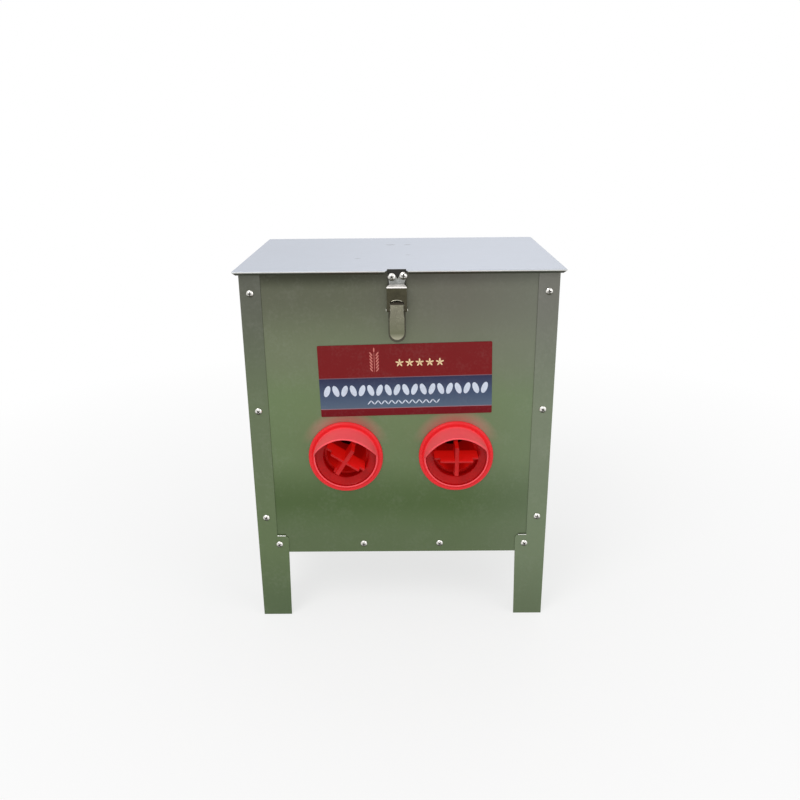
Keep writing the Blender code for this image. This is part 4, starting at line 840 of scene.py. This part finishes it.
# A thin bead round the window's arch, in the bright edge finish, gives the arch a painted highlight.
bead = bpy.data.curves.new("window_highlight_bead", "CURVE")
bead.dimensions = "3D"
bead.bevel_depth = BEAD_RADIUS
bead.bevel_resolution = 2
bead.use_fill_caps = True
line = bead.splines.new("POLY")
line.points.add(BEAD_POINTS - 1)
for k, point in enumerate(line.points):
    swing = math.radians(BEAD_START + BEAD_STEP * k)
    x, z = LATCH_X + WINDOW_HALF * math.cos(swing), WINDOW_Z + WINDOW_RISE * math.sin(swing)
    point.co = (x, WINDOW_FACE_Y, z, 1.0)
bead_mesh = bpy.data.meshes.new_from_object(bpy.data.objects.new("window_highlight_bead", bead))
bead_mesh.materials.append(edge_wear_and_highlight_zinc)
window_highlight_bead = placed("draw_plate_window_highlight_bead", bead_mesh)
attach(window_highlight_bead, "draw_plate")

# Pins
# Turned steel pins with a low head at each end, for the lever, the draw plate and each of the two hinges.
# They are plated bright, and rubbing keeps them so.
PIN_EDGE = 0.25 * MM
pin_steel = bright_steel("pin_steel", (214, 212, 202), roughness=0.22)
pins = {
    "latch_lever_pin": "bin", "latch_draw_pin": "lever", "hinge_pin_left": "bin", "hinge_pin_right": "bin",
}
for node, body in pins.items():
    softened(node, pin_steel, body, PIN_EDGE)

# Hinges
# Two steel butt hinges behind the bin, with one leaf riveted to the rear panel and one to the lid's skirt.
# The knuckles are rolled, and the pin is set in the body leaf.
HINGE_EDGE = 0.2 * MM
hinge_zinc = plated("hinge_zinc", (150, 150, 142), (112, 112, 104), 0.4)
for word in ("left", "right"):
    for leaf, body in (("body", "bin"), ("lid", "lid")):
        piece = softened(f"hinge_{leaf}_leaf_{word}", hinge_zinc, body, HINGE_EDGE)
        rubbed(piece, edge_wear_and_highlight_zinc)

# Studio
# A plain pale floor, a white surround, three soft lamps, and the camera where the photograph was taken from.
CAMERA_PLACE = (6.45 * MM, FRONT_Y - 959.95 * MM, 667.05 * MM)
CAMERA_DOWN, CAMERA_YAW, CAMERA_ROLL = math.radians(19.45), math.radians(-0.415), math.radians(-0.56)
CAMERA_LENS, CAMERA_SENSOR = 34.98, 36.0
WHITE = (1.0, 1.0, 1.0, 1.0)
SURROUND = 0.55
FLOOR_SIZE, FLOOR_TONE, FLOOR_WHITE = 40.0, 0.86, 0.72
FADE_FROM, FADE_TO = 0.30, 1.3
LAMP_AIM = Vector((0.0, 0.0, 0.25))
LAMPS = (
    ("key", (-1.1, -1.7, 2.3), 1.5, 30.0), ("fill", (1.9, -1.5, 1.2), 2.0, 14.0),
    ("back", (0.4, 1.9, 2.0), 1.6, 5.0),
)


def white_surround(tree, light, other, share=1.0):
    """The other shader, by its share, where the camera, or a mirror or glass, looks."""
    path = put(tree, "ShaderNodeLightPath")
    seen = sums(tree, "MAXIMUM", path.outputs["Is Camera Ray"], path.outputs["Is Glossy Ray"])
    seen = sums(tree, "MAXIMUM", seen, path.outputs["Is Transmission Ray"])
    return put(tree, "ShaderNodeMixShader", {0: product(tree, seen, share), 1: light, 2: other}).outputs[0]


world = bpy.data.worlds.new("studio")
bpy.context.scene.world = world
world.use_nodes = True
sky = world.node_tree
sky.nodes.clear()
soft = put(sky, "ShaderNodeBackground", {"Color": WHITE, "Strength": SURROUND}).outputs[0]
white = put(sky, "ShaderNodeBackground", {"Color": WHITE, "Strength": 1.0}).outputs[0]
put(sky, "ShaderNodeOutputWorld", {0: white_surround(sky, soft, white)})

shape = bmesh.new()
bmesh.ops.create_grid(shape, x_segments=1, y_segments=1, size=FLOOR_SIZE / 2)
floor_mesh = bpy.data.meshes.new("floor")
shape.to_mesh(floor_mesh)
shape.free()
floor = placed("floor", floor_mesh)
floor_finish, tree, floor_shader = finish_of("pale_floor", roughness=0.9)
floor_shader.inputs["Base Color"].default_value = (FLOOR_TONE, FLOOR_TONE, FLOOR_TONE, 1.0)
away = put(tree, "ShaderNodeVectorMath", {0: object_place(tree)}, operation="LENGTH").outputs["Value"]
whitened = spread(tree, away, FADE_FROM, FADE_TO, FLOOR_WHITE, 1.0)
white = put(tree, "ShaderNodeEmission", {"Color": WHITE, "Strength": 1.0}).outputs[0]
shown = white_surround(tree, floor_shader.outputs[0], white, whitened)
tree.links.new(shown, tree.nodes["Material Output"].inputs[0])
floor_mesh.materials.append(floor_finish)

for name, place, size, power in LAMPS:
    lamp = bpy.data.lights.new(name, "AREA")
    lamp.shape = "DISK"
    lamp.size = size
    lamp.energy = power
    holder = placed(name, lamp)
    holder.location = place
    holder.rotation_euler = (LAMP_AIM - Vector(place)).to_track_quat("-Z", "Y").to_euler()

level, drop = math.cos(CAMERA_DOWN), -math.sin(CAMERA_DOWN)
forward = Vector((math.sin(CAMERA_YAW) * level, math.cos(CAMERA_YAW) * level, drop))
right = Vector((math.cos(CAMERA_YAW), -math.sin(CAMERA_YAW), 0.0))
up = right.cross(forward)
across = right * math.cos(CAMERA_ROLL) + up * math.sin(CAMERA_ROLL)
upward = up * math.cos(CAMERA_ROLL) - right * math.sin(CAMERA_ROLL)
lens = bpy.data.cameras.new("camera")
lens.lens = CAMERA_LENS
lens.sensor_width = CAMERA_SENSOR
lens.clip_start = 10 * MM
camera = placed("camera", lens)
turn = Matrix((across, upward, -forward)).transposed()
camera.matrix_world = Matrix.Translation(CAMERA_PLACE) @ turn.to_4x4()
bpy.context.scene.camera = camera
bpy.context.scene.view_settings.view_transform = "Standard"
